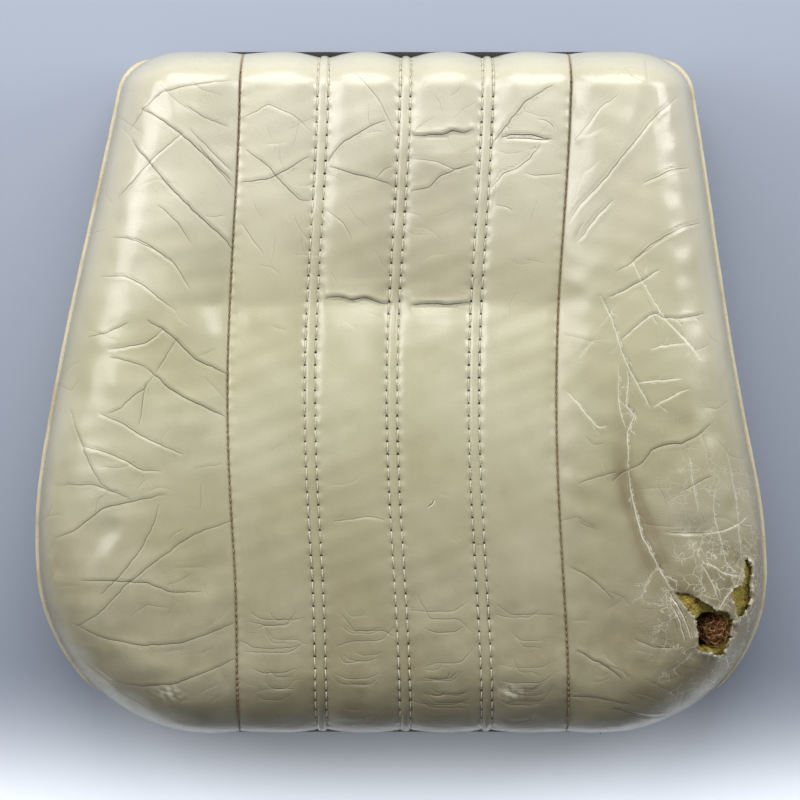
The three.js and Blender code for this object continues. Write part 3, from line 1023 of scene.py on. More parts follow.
LEFT_CREASES = [
    *lines(Mark.FOLD, 0.95, 0.9, 0.55,
           ((-189, 181), (-176, 166), (-159, 146), (-141, 128), (-125, 113), (-113, 98)),
           ((-182, 203), (-170, 197), (-154, 186), (-135, 169), (-118, 152)),
           ((-178, 55), (-165, 48), (-155, 39), (-145, 28), (-133, 22), (-120, 15)),
           ((-178, 22), (-171, 16), (-161, 6), (-147, -2), (-133, -9), (-122, -14))),
    *lines(Mark.FOLD, 0.85, 0.7, -0.35,
           ((-187, 113), (-175, 107), (-160, 97), (-154, 89), (-147, 76)),
           ((-211, 85), (-192, 86), (-176, 77), (-166, 68), (-156, 61)),
           ((-198, 141), (-185, 154), (-175, 166), (-161, 178), (-151, 186)),
           ((-206, 34), (-192, 36), (-180, 38), (-171, 44), (-165, 49)),
           ((-212, -11), (-196, -17), (-185, -24), (-168, -33), (-151, -40)),
           ((-224, -34), (-210, -37), (-194, -43), (-182, -50), (-168, -51))),
    *lines(Mark.FOLD, 0.6, 0.45, 0.2,
           ((-191, 187), (-180, 202), (-167, 214), (-147, 219), (-118, 223)),
           ((-203, 113), (-189, 112), (-173, 105), (-159, 95)),
           ((-147, 189), (-133, 174), (-118, 159)), ((-141, 178), (-129, 162), (-116, 146)),
           ((-220, 42), (-206, 46), (-197, 50), (-190, 53)),
           ((-204, 29), (-189, 26), (-178, 22)), ((-171, 18), (-166, 26), (-159, 38), (-156, 42)),
           ((-206, -11), (-197, -8), (-189, 0), (-178, 8), (-173, 16)),
           ((-234, -8), (-225, -31), (-218, -48), (-210, -61), (-201, -66)),
           ((-237, -62), (-217, -61), (-201, -66), (-189, -71)), ((-183, -19), (-180, -1), (-178, 13)),
           ((-150, 205), (-136, 196), (-120, 190)), ((-170, 136), (-156, 124), (-146, 108))),
    *lines(Mark.FOLD, 0.7, 0.6, 0.3,
           ((-245, -100), (-231, -95), (-221, -87), (-210, -78), (-197, -74), (-175, -70), (-164, -67)),
           ((-231, -164), (-213, -153), (-192, -131), (-175, -117), (-150, -99), (-133, -92), (-117, -87)),
           ((-227, -129), (-203, -129), (-178, -130), (-161, -137), (-140, -137)),
           ((-234, -160), (-210, -170), (-182, -175), (-154, -173), (-133, -166), (-115, -159)),
           ((-224, -189), (-206, -202), (-182, -205), (-157, -202), (-136, -194), (-113, -184)),
           ((-211, -139), (-196, -124), (-182, -106), (-173, -88), (-169, -74))),
]

INSERT_CREASES = [
    *lines(Mark.FOLD, 0.85, 0.8, 0.5,
           ((-112, 151), (-92, 154), (-78, 161), (-63, 170)),
           ((-109, 175), (-92, 162), (-83, 151), (-70, 139), (-63, 138)),
           ((-51, 163), (-31, 157), (-17, 154), (-5, 149)), ((-51, 166), (-41, 179), (-21, 191), (-9, 195)),
           ((7, 145), (21, 148), (27, 155), (38, 160), (53, 164)),
           ((64, 178), (79, 197), (88, 208), (108, 220)),
           ((99, 179), (91, 168), (82, 161), (73, 158), (64, 147))),
    *lines(Mark.FOLD, 0.6, 0.6, -0.3,
           ((-111, 196), (-92, 206), (-75, 199), (-62, 187)), ((-112, 123), (-96, 101)),
           ((-31, 228), (-14, 209), (-4, 187)), ((-17, 154), (-12, 160), (-5, 163)),
           ((7, 168), (27, 166), (38, 160), (52, 165)), ((87, 159), (96, 156), (107, 157), (114, 158)),
           ((96, 196), (104, 194), (109, 189)), ((67, 136), (76, 134), (80, 131)),
           ((-52, 132), (-40, 124), (-34, 112)), ((-48, -88), (-35, -86), (-22, -84), (-10, -87))),
    *lines(Mark.SPLIT, 0.8, 1.6, 2.2,
           ((-53, 70), (-41, 71), (-33, 68), (-26, 71), (-13, 66), (-5, 67)),
           ((9, 184), (31, 185), (36, 188), (45, 186), (52, 189)), ((8, 65), (22, 66), (36, 65), (50, 67))),
    Crease(((70, 183), (80, 185), (92, 184.6), (107, 181.6)), Mark.SPLIT, 1.0, 1.4, 0.6, 1.0),
    Crease(((73, 182.4), (84, 182.8), (95, 181.8), (106, 181)), Mark.SPLIT, 1.0, 1.4, -0.4, 1.0),
    Crease(((19, -77), (23, -76), (24, -72)), Mark.SPLIT, 0.9, 0.2, 0.0, 0.7),
]

RIGHT_CREASES = [
    *lines(Mark.WHITE_CRACK, 0.95, 0.8, 0.5,
           ((141, 73), (147, 60), (151, 50), (156, 33), (161, 21), (168, 8), (176, -6)),
           ((160, 21), (161, 10), (159, -5), (166, -12), (160, -23), (161, -41), (161, -50)),
           ((161, -50), (163, -66), (170, -95), (177, -108), (182, -118), (187, -126), (193, -136)),
           ((155, 41), (165, 50), (173, 57), (180, 60), (185, 56), (205, 57), (215, 59)),
           ((147, 71), (156, 75), (166, 81), (177, 87), (182, 91))),
    *lines(Mark.WHITE_CRACK, 0.7, 0.45, -0.3,
           ((154, 23), (154, 6), (155, -8), (159, -21)),
           ((163, 97), (170, 82), (177, 71), (185, 58), (198, 44), (206, 36), (213, 26)),
           ((175, 35), (184, 37), (201, 39)), ((166, 11), (177, 13), (187, 13), (198, 14)),
           ((177, -6), (187, 0), (203, 7)), ((118, 5), (128, -7), (140, -21), (145, -19)),
           ((227, -55), (222, -68), (222, -81), (225, -93), (229, -106), (232, -117), (240, -124)),
           ((232, -39), (236, -59), (239, -75), (240, -89), (242, -110), (244, -117)),
           ((212, -115), (219, -127), (226, -142)), ((217, -116), (230, -124), (241, -126)),
           ((182, -118), (174, -130), (170, -144)), ((196, -141), (184, -146), (170, -143)),
           ((199, -148), (190, -158), (178, -162)), ((209, -178), (200, -188), (188, -196)),
           ((232, -184), (236, -194), (233, -206)), ((224, -150), (231, -140), (240, -132)),
           ((219, -95), (228, -94), (237, -91), (246, -85)), ((204, -40), (207, -62), (211, -80))),
    *lines(Mark.SPLIT, 0.85, 1.2, -0.6,
           ((190, -136), (196, -146), (202, -157), (206, -170)), ((193, -147), (198, -158), (202, -172))),
    *lines(Mark.FOLD, 0.9, 0.9, 0.5,
           ((195, 212), (186, 204), (175, 194), (164, 180), (152, 165), (142, 152), (128, 138), (117, 122)),
           ((219, -95), (212, -95), (200, -95), (186, -94)),
           ((212, 123), (198, 120), (186, 114), (175, 107), (160, 94)),
           ((204, 162), (190, 160), (180, 155), (170, 151)), ((149, 139), (137, 127), (125, 110)),
           ((161, -50), (170, -46), (177, -36), (187, -32), (198, -32), (210, -26), (219, -19)),
           ((125, -179), (137, -186), (147, -191), (157, -199)),
           ((151, -221), (169, -226), (185, -230), (200, -228))),
    *lines(Mark.FOLD, 0.6, 0.5, 0.25,
           ((152, 212), (140, 204), (131, 191), (122, 180)), ((151, 89), (161, 94), (170, 102), (189, 115)),
           ((149, -59), (154, -54), (161, -50)), ((199, -65), (210, -59), (220, -55)),
           ((114, -214), (135, -213), (163, -218)), ((126, -60), (140, -55), (152, -52)),
           ((120, -120), (136, -128), (150, -142)), ((165, -170), (180, -176), (194, -176))),
]

TORN_HOLE = ((194, -137), (205, -139), (212, -142), (218, -146), (224, -150), (232, -152), (236, -158),
             (237, -164), (235, -171), (232, -179), (231, -184), (225, -185), (221, -181), (216, -181),
             (210, -179), (211, -171), (210, -166), (209, -156), (202, -148), (197, -141))
EDGE_HOLE = ((246, -113), (250, -120), (250, -144), (248, -153), (241, -158), (239, -152), (236, -143),
             (236, -135), (243, -134), (244, -126))
FOAM_HOLE = ((213, -151), (222, -153), (232, -156), (236, -163), (233, -172), (230, -180), (222, -180),
             (212, -178), (211, -168), (209, -159))


def ragged(shape: tuple, jitter: float, seed: int) -> np.ndarray:
    """A torn outline: a polygon with small random teeth.

    Args:
        shape: its corners, in millimetres.
        jitter: the teeth's usual height, in millimetres.
        seed: picks the teeth.

    Returns:
        Its points in metres, closed.
    """
    corners = np.array(shape + shape[:1], float) * MM
    ring = points_at(corners, np.arange(0, lengths_along(corners)[-1], 1.3 * MM))
    ring += np.random.default_rng(seed).normal(0, jitter * MM, ring.shape)
    return np.concatenate([ring, ring[:1]])


def inside(ring: np.ndarray, x: np.ndarray, y: np.ndarray) -> np.ndarray:
    """Whether points lie in a closed outline.

    Args:
        ring: its points, the last the same as the first.
        x: places across.
        y: places along.

    Returns:
        True inside.
    """
    odd = np.zeros(x.shape, bool)
    for (ax, ay), (bx, by) in zip(ring[:-1], ring[1:]):
        crosses = (ay > y) != (by > y)
        with np.errstate(divide="ignore", invalid="ignore"):
            odd ^= crosses & (x < (bx - ax) * (y - ay) / (by - ay) + ax)
    return odd


# ---- The cover --------------------------------------------------------------

@dataclass
class Panel:
    """One leather panel as a grid of points: rows from the rear forwards, columns to the right."""

    name: str
    nominal_x: np.ndarray
    nominal_y: np.ndarray
    points: np.ndarray
    along: np.ndarray
    spacing: float
    wear: WearMap | None = None
    rings: list = field(default_factory=list)


@dataclass
class Cover:
    """The sewn leather cover: fluted insert, two bolsters, and the wear on them."""

    plan: Plan
    leather: float = 0.0017
    flute_pitch: float = 0.058
    band: float = 0.0037
    seam_groove: float = 0.0003
    seam_share: float = 0.42
    puff_cap: float = 0.0028
    insert_spacing: float = 0.0017
    bolster_spacing: float = 0.00135
    bolster_crest: float = 0.130
    bolster_girth: float = 0.150
    bolster_dip: float = 0.020
    groove_width: float = 0.0019
    flutes: int = 4
    folds_per_flute: int = 15
    stitch_pitch: float = 0.009
    panels: dict = field(default_factory=dict)

    def rows(self, centre: float, spacing: float) -> tuple[np.ndarray, np.ndarray]:
        """Rows evenly spaced over the crown's length along one line.

        Args:
            centre: the line's place across.
            spacing: between rows.

        Returns:
            Each row's y, and its distance from the rear edge over the leather.
        """
        y = self.plan.rear_y * np.cos(np.linspace(0, math.pi, 6000))
        z = self.plan.height(np.full(y.shape, centre), y)
        length = np.concatenate([[0], np.cumsum(np.hypot(np.diff(y), np.diff(z)))])
        at = np.linspace(0, length[-1], int(length[-1] / spacing))
        return np.interp(at, length, y), at

    def insert_columns(self) -> np.ndarray:
        """Places across the insert, closer together at its seams and rows of stitches.

        Returns:
            The columns' x, from left to right.
        """
        dense = np.linspace(-self.plan.seam, self.plan.seam, 4000)
        off = np.abs((dense + self.plan.seam) % self.flute_pitch)
        off = np.minimum(off, self.flute_pitch - off)
        weight = 1 / np.where(off < 8 * MM, 0.95 * MM, 2.1 * MM)
        total = np.concatenate([[0], np.cumsum((weight[1:] + weight[:-1]) / 2 * np.diff(dense))])
        return np.interp(np.linspace(0, total[-1], int(total[-1])), total, dense)

    def lay_insert(self) -> Panel:
        """Lays the insert's plain surface out.

        Returns:
            The panel, without relief.
        """
        y, along = self.rows(0.0, self.insert_spacing)
        x, y = np.meshgrid(self.insert_columns(), y)
        points = np.stack([x, y, self.plan.height(x, y)], axis=-1)
        return Panel("insert_cover", x, y, points, along, self.insert_spacing)

    def lay_bolster(self, side: int) -> Panel:
        """Lays one bolster's plain surface out.

        Args:
            side: 1 for the right, -1 for the left.

        Returns:
            The panel, without relief.
        """
        spacing = self.bolster_spacing
        y, along = self.rows(self.bolster_crest, spacing)
        columns = int(self.bolster_girth / spacing)
        x = np.zeros((len(y), columns))
        turn = np.sin(np.linspace(0, math.pi / 2, 500))
        for i, place in enumerate(y):
            dense = self.plan.seam + (float(self.plan.half_width(np.array(place))) - self.plan.seam) * turn
            z = self.plan.height(dense, np.full(dense.shape, place))
            length = np.concatenate([[0], np.cumsum(np.hypot(np.diff(dense), np.diff(z)))])
            x[i] = np.interp(np.linspace(0, length[-1], columns), length, dense)
        y = np.repeat(y[:, None], columns, axis=1)
        points = np.stack([x, y, self.plan.height(x, y)], axis=-1)
        if side < 0:
            x, y, points = -x[:, ::-1], y[:, ::-1], points[:, ::-1] * np.array([-1, 1, 1])
        return Panel(("left" if side < 0 else "right") + "_bolster_cover", x, y, points, along, spacing)

    def valley(self, along: np.ndarray) -> np.ndarray:
        """How deep the rows of stitches lie under the flutes' crests.

        Args:
            along: distance from the rear edge over the leather.

        Returns:
            Depths in metres.
        """
        end = along.max()
        return np.interp(along, [0, 0.04, 0.12, 0.25, end - 0.15, end - 0.05, end],
                         [4.2 * MM, 6.2 * MM, 5.4 * MM, 4.2 * MM, 4.2 * MM, 3.8 * MM, 2.0 * MM])

    def insert_relief(self, panel: Panel) -> np.ndarray:
        """Flutes, the band between twin rows, and the dips at the side seams.

        Args:
            panel: the insert.

        Returns:
            Heights along the normal.
        """
        x, along = panel.nominal_x, panel.along[:, None]
        near = np.round(x / self.flute_pitch) * self.flute_pitch
        off = np.abs(x - near)
        side_seam = np.abs(near) > 1.6 * self.flute_pitch
        start = np.where(side_seam, 0.0, self.band)
        half = self.flute_pitch / 2
        share = np.clip((half - off) / (half - start), 0, 1)
        sharp = np.interp(along, [0, 0.10, 0.22, 0.45, along.max()], [2.1, 2.4, 4.2, 3.8, 2.6])
        depth = self.valley(along) * np.where(side_seam, self.seam_share, 1.0)
        pucker = 1 + 0.10 * np.cos(2 * math.pi * along / self.stitch_pitch) * smooth(off, 9 * MM, 3 * MM)
        relief = -depth * share ** sharp * pucker
        band = ~side_seam & (off < self.band)
        relief = np.where(band, -depth + 1.5 * MM * (1 - (off / self.band) ** 2), relief)
        row = np.where(side_seam, 0, np.exp(-((off - self.band) / (0.8 * MM)) ** 2)) * 0.4 * MM
        groove = np.where(side_seam, self.seam_groove * np.clip(1 - off / self.groove_width, 0, 1) ** 2, 0)
        return relief - row - groove

    def bolster_relief(self, panel: Panel) -> np.ndarray:
        """The dip beside an insert seam.

        Args:
            panel: a bolster.

        Returns:
            Heights along the normal.
        """
        out = np.abs(panel.nominal_x) - self.plan.seam
        depth = self.valley(panel.along)[:, None] * self.seam_share
        dip = -depth * np.clip(1 - out / self.bolster_dip, 0, 1) ** 2
        return dip - self.seam_groove * np.clip(1 - out / self.groove_width, 0, 1) ** 2

    def puff(self, panel: Panel, pinned: np.ndarray) -> np.ndarray:
        """Blows a coarse copy of a panel up between its seams with a short cloth run.

        Args:
            panel: the panel, with its relief.
            pinned: which of its points are sewn down.

        Returns:
            How far each point moves, no further than the cap.
        """
        rows, columns = panel.points.shape[:2]
        r = np.unique(np.linspace(0, rows - 1, 95).astype(int))
        c = np.unique(np.linspace(0, columns - 1, min(64, columns // 2)).astype(int))
        coarse = panel.points[np.ix_(r, c)]
        mesh = bpy.data.meshes.new("puffing")
        mesh.from_pydata(coarse.reshape(-1, 3).tolist(), [], grid_faces(len(r), len(c)).tolist())
        skin = bpy.data.objects.new("puffing", mesh)
        bpy.context.scene.collection.objects.link(skin)
        sewn = skin.vertex_groups.new(name="sewn")
        held = pinned[np.ix_(r, c)].ravel()
        sewn.add([int(k) for k in np.flatnonzero(held)], 1.0, "REPLACE")
        cloth = skin.modifiers.new("cloth", "CLOTH")
        cloth.settings.quality = 6
        cloth.settings.use_pressure = True
        cloth.settings.uniform_pressure_force = 4
        cloth.settings.vertex_group_mass = "sewn"
        cloth.settings.bending_stiffness = 2
        cloth.settings.effector_weights.gravity = 0
        cloth.point_cache.frame_start, cloth.point_cache.frame_end = 1, 20
        for now in range(1, 21):
            bpy.context.scene.frame_set(now)
        graph = bpy.context.evaluated_depsgraph_get()
        blown = np.zeros(len(mesh.vertices) * 3, np.float32)
        skin.evaluated_get(graph).data.vertices.foreach_get("co", blown)
        move = blown.reshape(coarse.shape) - coarse
        bpy.data.objects.remove(skin)
        bpy.data.meshes.remove(mesh)
        bpy.context.scene.frame_set(1)
        size = np.linalg.norm(move, axis=2, keepdims=True)
        move *= self.puff_cap * np.tanh(size / self.puff_cap) / np.maximum(size, 1e-9)
        LOG.info("%-26s puffed by up to %.1f mm", panel.name, 1000 * float(size.max()))
        full = np.zeros(panel.points.shape)
        for k in range(3):
            wide = np.stack([np.interp(np.arange(columns), c, row) for row in move[:, :, k]])
            full[:, :, k] = np.stack([np.interp(np.arange(rows), r, column) for column in wide.T], axis=1)
        for _ in range(5):
            full[1:-1] = (full[:-2] + 2 * full[1:-1] + full[2:]) / 4
        return full

    def small_folds(self, panel: Panel, seed: int, count: int, low: float, high: float,
                    size: float, strength: float) -> list[Crease]:
        """Seeded short folds between the large ones.

        Args:
            panel: where they are.
            seed: picks them.
            count: how many.
            low: the forward end of their range, in millimetres along.
            high: its rear end.
            size: their usual length, in millimetres.
            strength: how plainly they are drawn.

        Returns:
            The folds.
        """
        draw = np.random.default_rng(seed)
        left, right = panel.nominal_x.min() / MM + 6, panel.nominal_x.max() / MM - 12
        found = []
        for _ in range(count):
            x, y = draw.uniform(left, right), draw.uniform(low, high)
            turn = draw.normal(0.0, 0.7) + (0.5 if x * (y - 40) > 0 else -0.5)
            run = size * draw.uniform(0.5, 1.5)
            dx, dy = run / 2 * math.cos(turn), run / 2 * math.sin(turn)
            sag = draw.normal(0, 0.12) * run
            found.append(Crease(((x - dx, y - dy), (x - sag * math.sin(turn), y + sag * math.cos(turn)),
                                 (x + dx, y + dy)), Mark.FOLD, strength * draw.uniform(0.5, 1.1),
                                0.25, draw.uniform(-0.15, 0.15)))
        return found

    def smile_folds(self, seed: int) -> list[Crease]:
        """Fine sagging folds where each flute rolls over the front edge.

        Args:
            seed: picks them.

        Returns:
            The folds.
        """
        draw = np.random.default_rng(seed)
        found = []
        for flute in range(self.flutes):
            centre = (flute - (self.flutes - 1) / 2) * self.flute_pitch / MM
            for _ in range(self.folds_per_flute):
                y, half = draw.uniform(-236, -150), draw.uniform(7, 22)
                x = centre + draw.normal(0, 4)
                tilt = draw.normal(0, 0.25)
                found.append(Crease(((x - half, y + 5 - tilt * half), (x - half / 2, y + 1.2),
                                     (x + half / 2, y + 1.2), (x + half, y + 5 + tilt * half)), Mark.FOLD,
                                    draw.uniform(0.25, 0.6), 0.35, draw.uniform(-0.15, 0.15)))
        return found

    def age(self, panel: Panel, creases: list, seed: int) -> None:
        """Presses a panel's creases in and works out where it is crazed, frayed, soiled and darkened with painted
        shade.

        Args:
            panel: the panel, bowed.
            creases: its lines.
            seed: picks their unsteadiness.
        """
        x, y = panel.points[..., 0], panel.points[..., 1]
        worn = WearMap(x, y)
        for k, crease in enumerate(creases):
            worn.press(crease, seed + k)
        off_seam = np.abs(np.abs(panel.nominal_x) - self.plan.seam)
        out = self.plan.half_width(panel.nominal_y) - np.abs(panel.nominal_x)
        front = smooth(y, -0.13, -0.235)
        worn.wear[..., 0] = 0.16 + 0.24 * smooth(y, 0.06, 0.20) + 0.3 * front
        worn.wear[..., 0] += 0.62 * smooth(x, 0.15, 0.20) * smooth(y, 0.06, -0.06) * smooth(y, -0.24, -0.19)
        worn.wear[..., 0] += 0.2 * smooth(x, -0.15, -0.2) * smooth(y, 0.0, -0.1)
        # The second share is dirt and painted shade: darker towards the front roll, which faces away from the rear
        # lights (painted shade with some dirt), dirtier along the seams, and a darker patch low on the right bolster.
        worn.wear[..., 1] = 0.74 * smooth(y, 0.02, -0.22) + 0.25 * smooth(off_seam, 2.2 * MM, 0.0)
        worn.wear[..., 1] += 0.22 * smooth(x, 0.11, 0.16) * smooth(y, 0.04, -0.04) * smooth(y, -0.22, -0.16)
        # Painted shade on the rear slope of the sitting hollow, which tilts away from the rear lights.
        painted_hollow_shade = np.exp(-((x - 0.01) / 0.06) ** 2) * smooth(y, 0.062, 0.074) * smooth(y, 0.21, 0.15)
        worn.wear[..., 1] += 0.42 * painted_hollow_shade
        # Darker along the outer edges, where the leather rolls away from the lights: painted shade with some dirt.
        worn.wear[..., 1] += 0.35 * smooth(out, 9 * MM, 1 * MM)
        off_crack = x - 0.156 - 0.37 * np.clip(-0.05 - y, 0, 0.09)
        worn.wear[..., 1] += 1.1 * np.exp(-(off_crack / 0.008) ** 2 - ((y + 0.085) / 0.05) ** 2)
        corner = np.exp(-np.hypot((x - 0.222) / 0.03, (y + 0.155) / 0.035) ** 2)
        worn.wear[..., 1] += 0.5 * corner
        worn.wear[..., 0] += 0.8 * corner
        for cx, cy in ((79, -210), (-163, -209)):
            scuff = np.exp(-np.hypot((x / MM - cx) / 8, (y / MM - cy) / 4.5) ** 2)
            worn.wear[..., 2] += 1.1 * scuff * smooth(ripples(x, y, 5 * MM, seed), -0.3, 0.3)
        worn.soften()
        panel.wear = worn
        swell = 0.55 * MM * ripples(x, y, 0.055, seed + 91) + 0.25 * MM * ripples(x, y, 0.022, seed + 92)
        fade = smooth(out, 0.0, 0.02) * smooth(self.plan.rear_y - np.abs(y), 0, 0.01)
        relief = (worn.relief + swell * fade) * smooth(off_seam, 0.0, 5 * MM)
        panel.points = panel.points + grid_normals(panel.points) * relief[..., None]

    def tear(self, panel: Panel, shapes: tuple, jitter: float, curl: float) -> np.ndarray:
        """Tears holes in a panel: its edge follows each ragged outline, curls up and frays.

        Args:
            panel: the panel, finished but whole.
            shapes: the holes' outlines, in millimetres.
            jitter: of their teeth, in millimetres.
            curl: how far the edge stands up, in metres.

        Returns:
            Which faces of the grid stay.
        """
        points = panel.points
        normal = grid_normals(points)
        for k, shape in enumerate(shapes):
            ring = ragged(shape, jitter, 400 + k)
            x, y = points[..., 0], points[..., 1]
            near = near_line(ring, x, y, 20 * MM)
            signed, _ = nearest_on(ring, x[near], y[near])
            gap = np.abs(signed)
            spots = points[near]
            best = np.full(gap.shape, 1e9)
            target = np.zeros(gap.shape + (2,))
            for a, b in zip(ring[:-1], ring[1:]):
                run = b - a
                t = np.clip(((spots[:, :2] - a) @ run) / max(float(run @ run), 1e-14), 0, 1)
                foot = a + t[:, None] * run
                away = np.linalg.norm(spots[:, :2] - foot, axis=1)
                target[away < best] = foot[away < best]
                best = np.minimum(best, away)
            snap = best < 0.5 * panel.spacing
            spots[snap, :2] = target[snap]
            out = ~inside(ring, spots[:, 0], spots[:, 1])
            uneven = 0.75 + 0.5 * ripples(spots[:, 0], spots[:, 1], 9 * MM, 7 + k)
            lift = curl * np.exp(-best / (3.2 * MM)) * uneven
            lift *= 1.9 * smooth(spots[:, 0], ring[:, 0].mean() - 0.012, ring[:, 0].mean()) - 0.9
            spots += normal[near] * lift[:, None]
            points[near] = spots
            if panel.wear is not None:
                patchy = smooth(ripples(spots[:, 0], spots[:, 1], 7 * MM, 27 + k), -0.6, 0.5)
                fray = np.exp(-(best / (1.1 * MM)) ** 2) * patchy
                # The torn edge is darkened all round: dirt, and painted shade where the edge folds down into the tear.
                soil_and_shade = np.exp(-best / (5 * MM)) * 0.9
                kept = panel.wear.wear[near]
                kept[:, 2] = np.maximum(kept[:, 2], fray * out)
                kept[:, 1] = np.clip(kept[:, 1] + soil_and_shade, 0, 1)
                panel.wear.wear[near] = kept
            panel.rings.append(ring)
        faces = grid_faces(*points.shape[:2])
        centre = points.reshape(-1, 3)[faces].mean(axis=1)
        stays = np.ones(len(faces), bool)
        for ring in panel.rings:
            stays &= ~inside(ring, centre[:, 0], centre[:, 1])
        return stays

    def build_panel(self, panel: Panel, stays: np.ndarray | None, finish: bpy.types.Material, slot: str,
                    node: str, thickness: float) -> bpy.types.Object:
        """Turns a panel's grid into a walled piece with its map and attributes.

        Args:
            panel: the finished grid.
            stays: which faces stay, or None for all.
            finish: its material.
            slot: not used.
            node: the CAD node that it stands for.
            thickness: of its wall.

        Returns:
            The piece.
        """
        rows, columns = panel.points.shape[:2]
        faces = grid_faces(rows, columns)
        if stays is not None:
            faces = faces[stays]
        used, faces = np.unique(faces, return_inverse=True)
        faces = faces.reshape(-1, 4)
        piece = make_piece(panel.name, panel.points.reshape(-1, 3)[used], faces, finish)
        mesh = piece.data
        flat = np.stack([panel.nominal_x, np.repeat(panel.along[:, None], columns, axis=1)], axis=-1)
        corner = np.zeros(len(mesh.loops), np.int32)
        mesh.loops.foreach_get("vertex_index", corner)
        layer = mesh.uv_layers.new(name="flat")
        layer.data.foreach_set("uv", flat.reshape(-1, 2)[used][corner].astype(np.float32).ravel())
        if panel.wear is not None:
            fields = dict(zip(("crease_a", "crease_b", "crease_c"), panel.wear.layers))
            fields["wear"] = panel.wear.wear
            for name, value in fields.items():
                attribute = mesh.attributes.new(name, "FLOAT_VECTOR", "POINT")
                attribute.data.foreach_set("vector", value.reshape(-1, 3)[used].astype(np.float32).ravel())
        thicken(piece, thickness)
        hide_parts(node)
        report(piece)
        return piece

    def shape(self) -> None:
        """Lays, puffs and ages all three panels."""
        insert = self.lay_insert()
        insert.points += grid_normals(insert.points) * self.insert_relief(insert)[..., None]
        off = np.abs(insert.nominal_x - np.round(insert.nominal_x / self.flute_pitch) * self.flute_pitch)
        self.finish_panel(insert, off < 5.2 * MM)
        folds = INSERT_CREASES + self.smile_folds(31)
        folds += self.small_folds(insert, 41, 46, 60, 225, 18, 0.26)
        folds += self.small_folds(insert, 42, 26, -230, 60, 10, 0.2)
        self.age(insert, folds, 1000)
        for side, own in ((-1, LEFT_CREASES), (1, RIGHT_CREASES)):
            bolster = self.lay_bolster(side)
            bolster.points += grid_normals(bolster.points) * self.bolster_relief(bolster)[..., None]
            out = self.plan.half_width(bolster.nominal_y) - np.abs(bolster.nominal_x)
            self.finish_panel(bolster, (np.abs(bolster.nominal_x) - self.plan.seam < 3 * MM) | (out < 3 * MM))
            folds = own + self.small_folds(bolster, 50 + side, 34, -235, 235, 22, 0.28)
            folds += self.small_folds(bolster, 60 + side, 30, -235, -40, 14, 0.26)
            folds += branches([crack for crack in own if crack.mark is Mark.WHITE_CRACK], 77)
            self.age(bolster, folds, 2000 + 500 * side)

    def finish_panel(self, panel: Panel, sewn: np.ndarray) -> None:
        """Puffs a panel, bows it and keeps it.

        Args:
            panel: the panel with its relief.
            sewn: which points are sewn down, besides the first and last two rows.
        """
        sewn[:2], sewn[-2:] = True, True
        panel.points = panel.points + self.puff(panel, sewn)
        panel.points = self.plan.bowed(panel.points)
        self.panels[panel.name] = panel


# ---- Threads ----------------------------------------------------------------

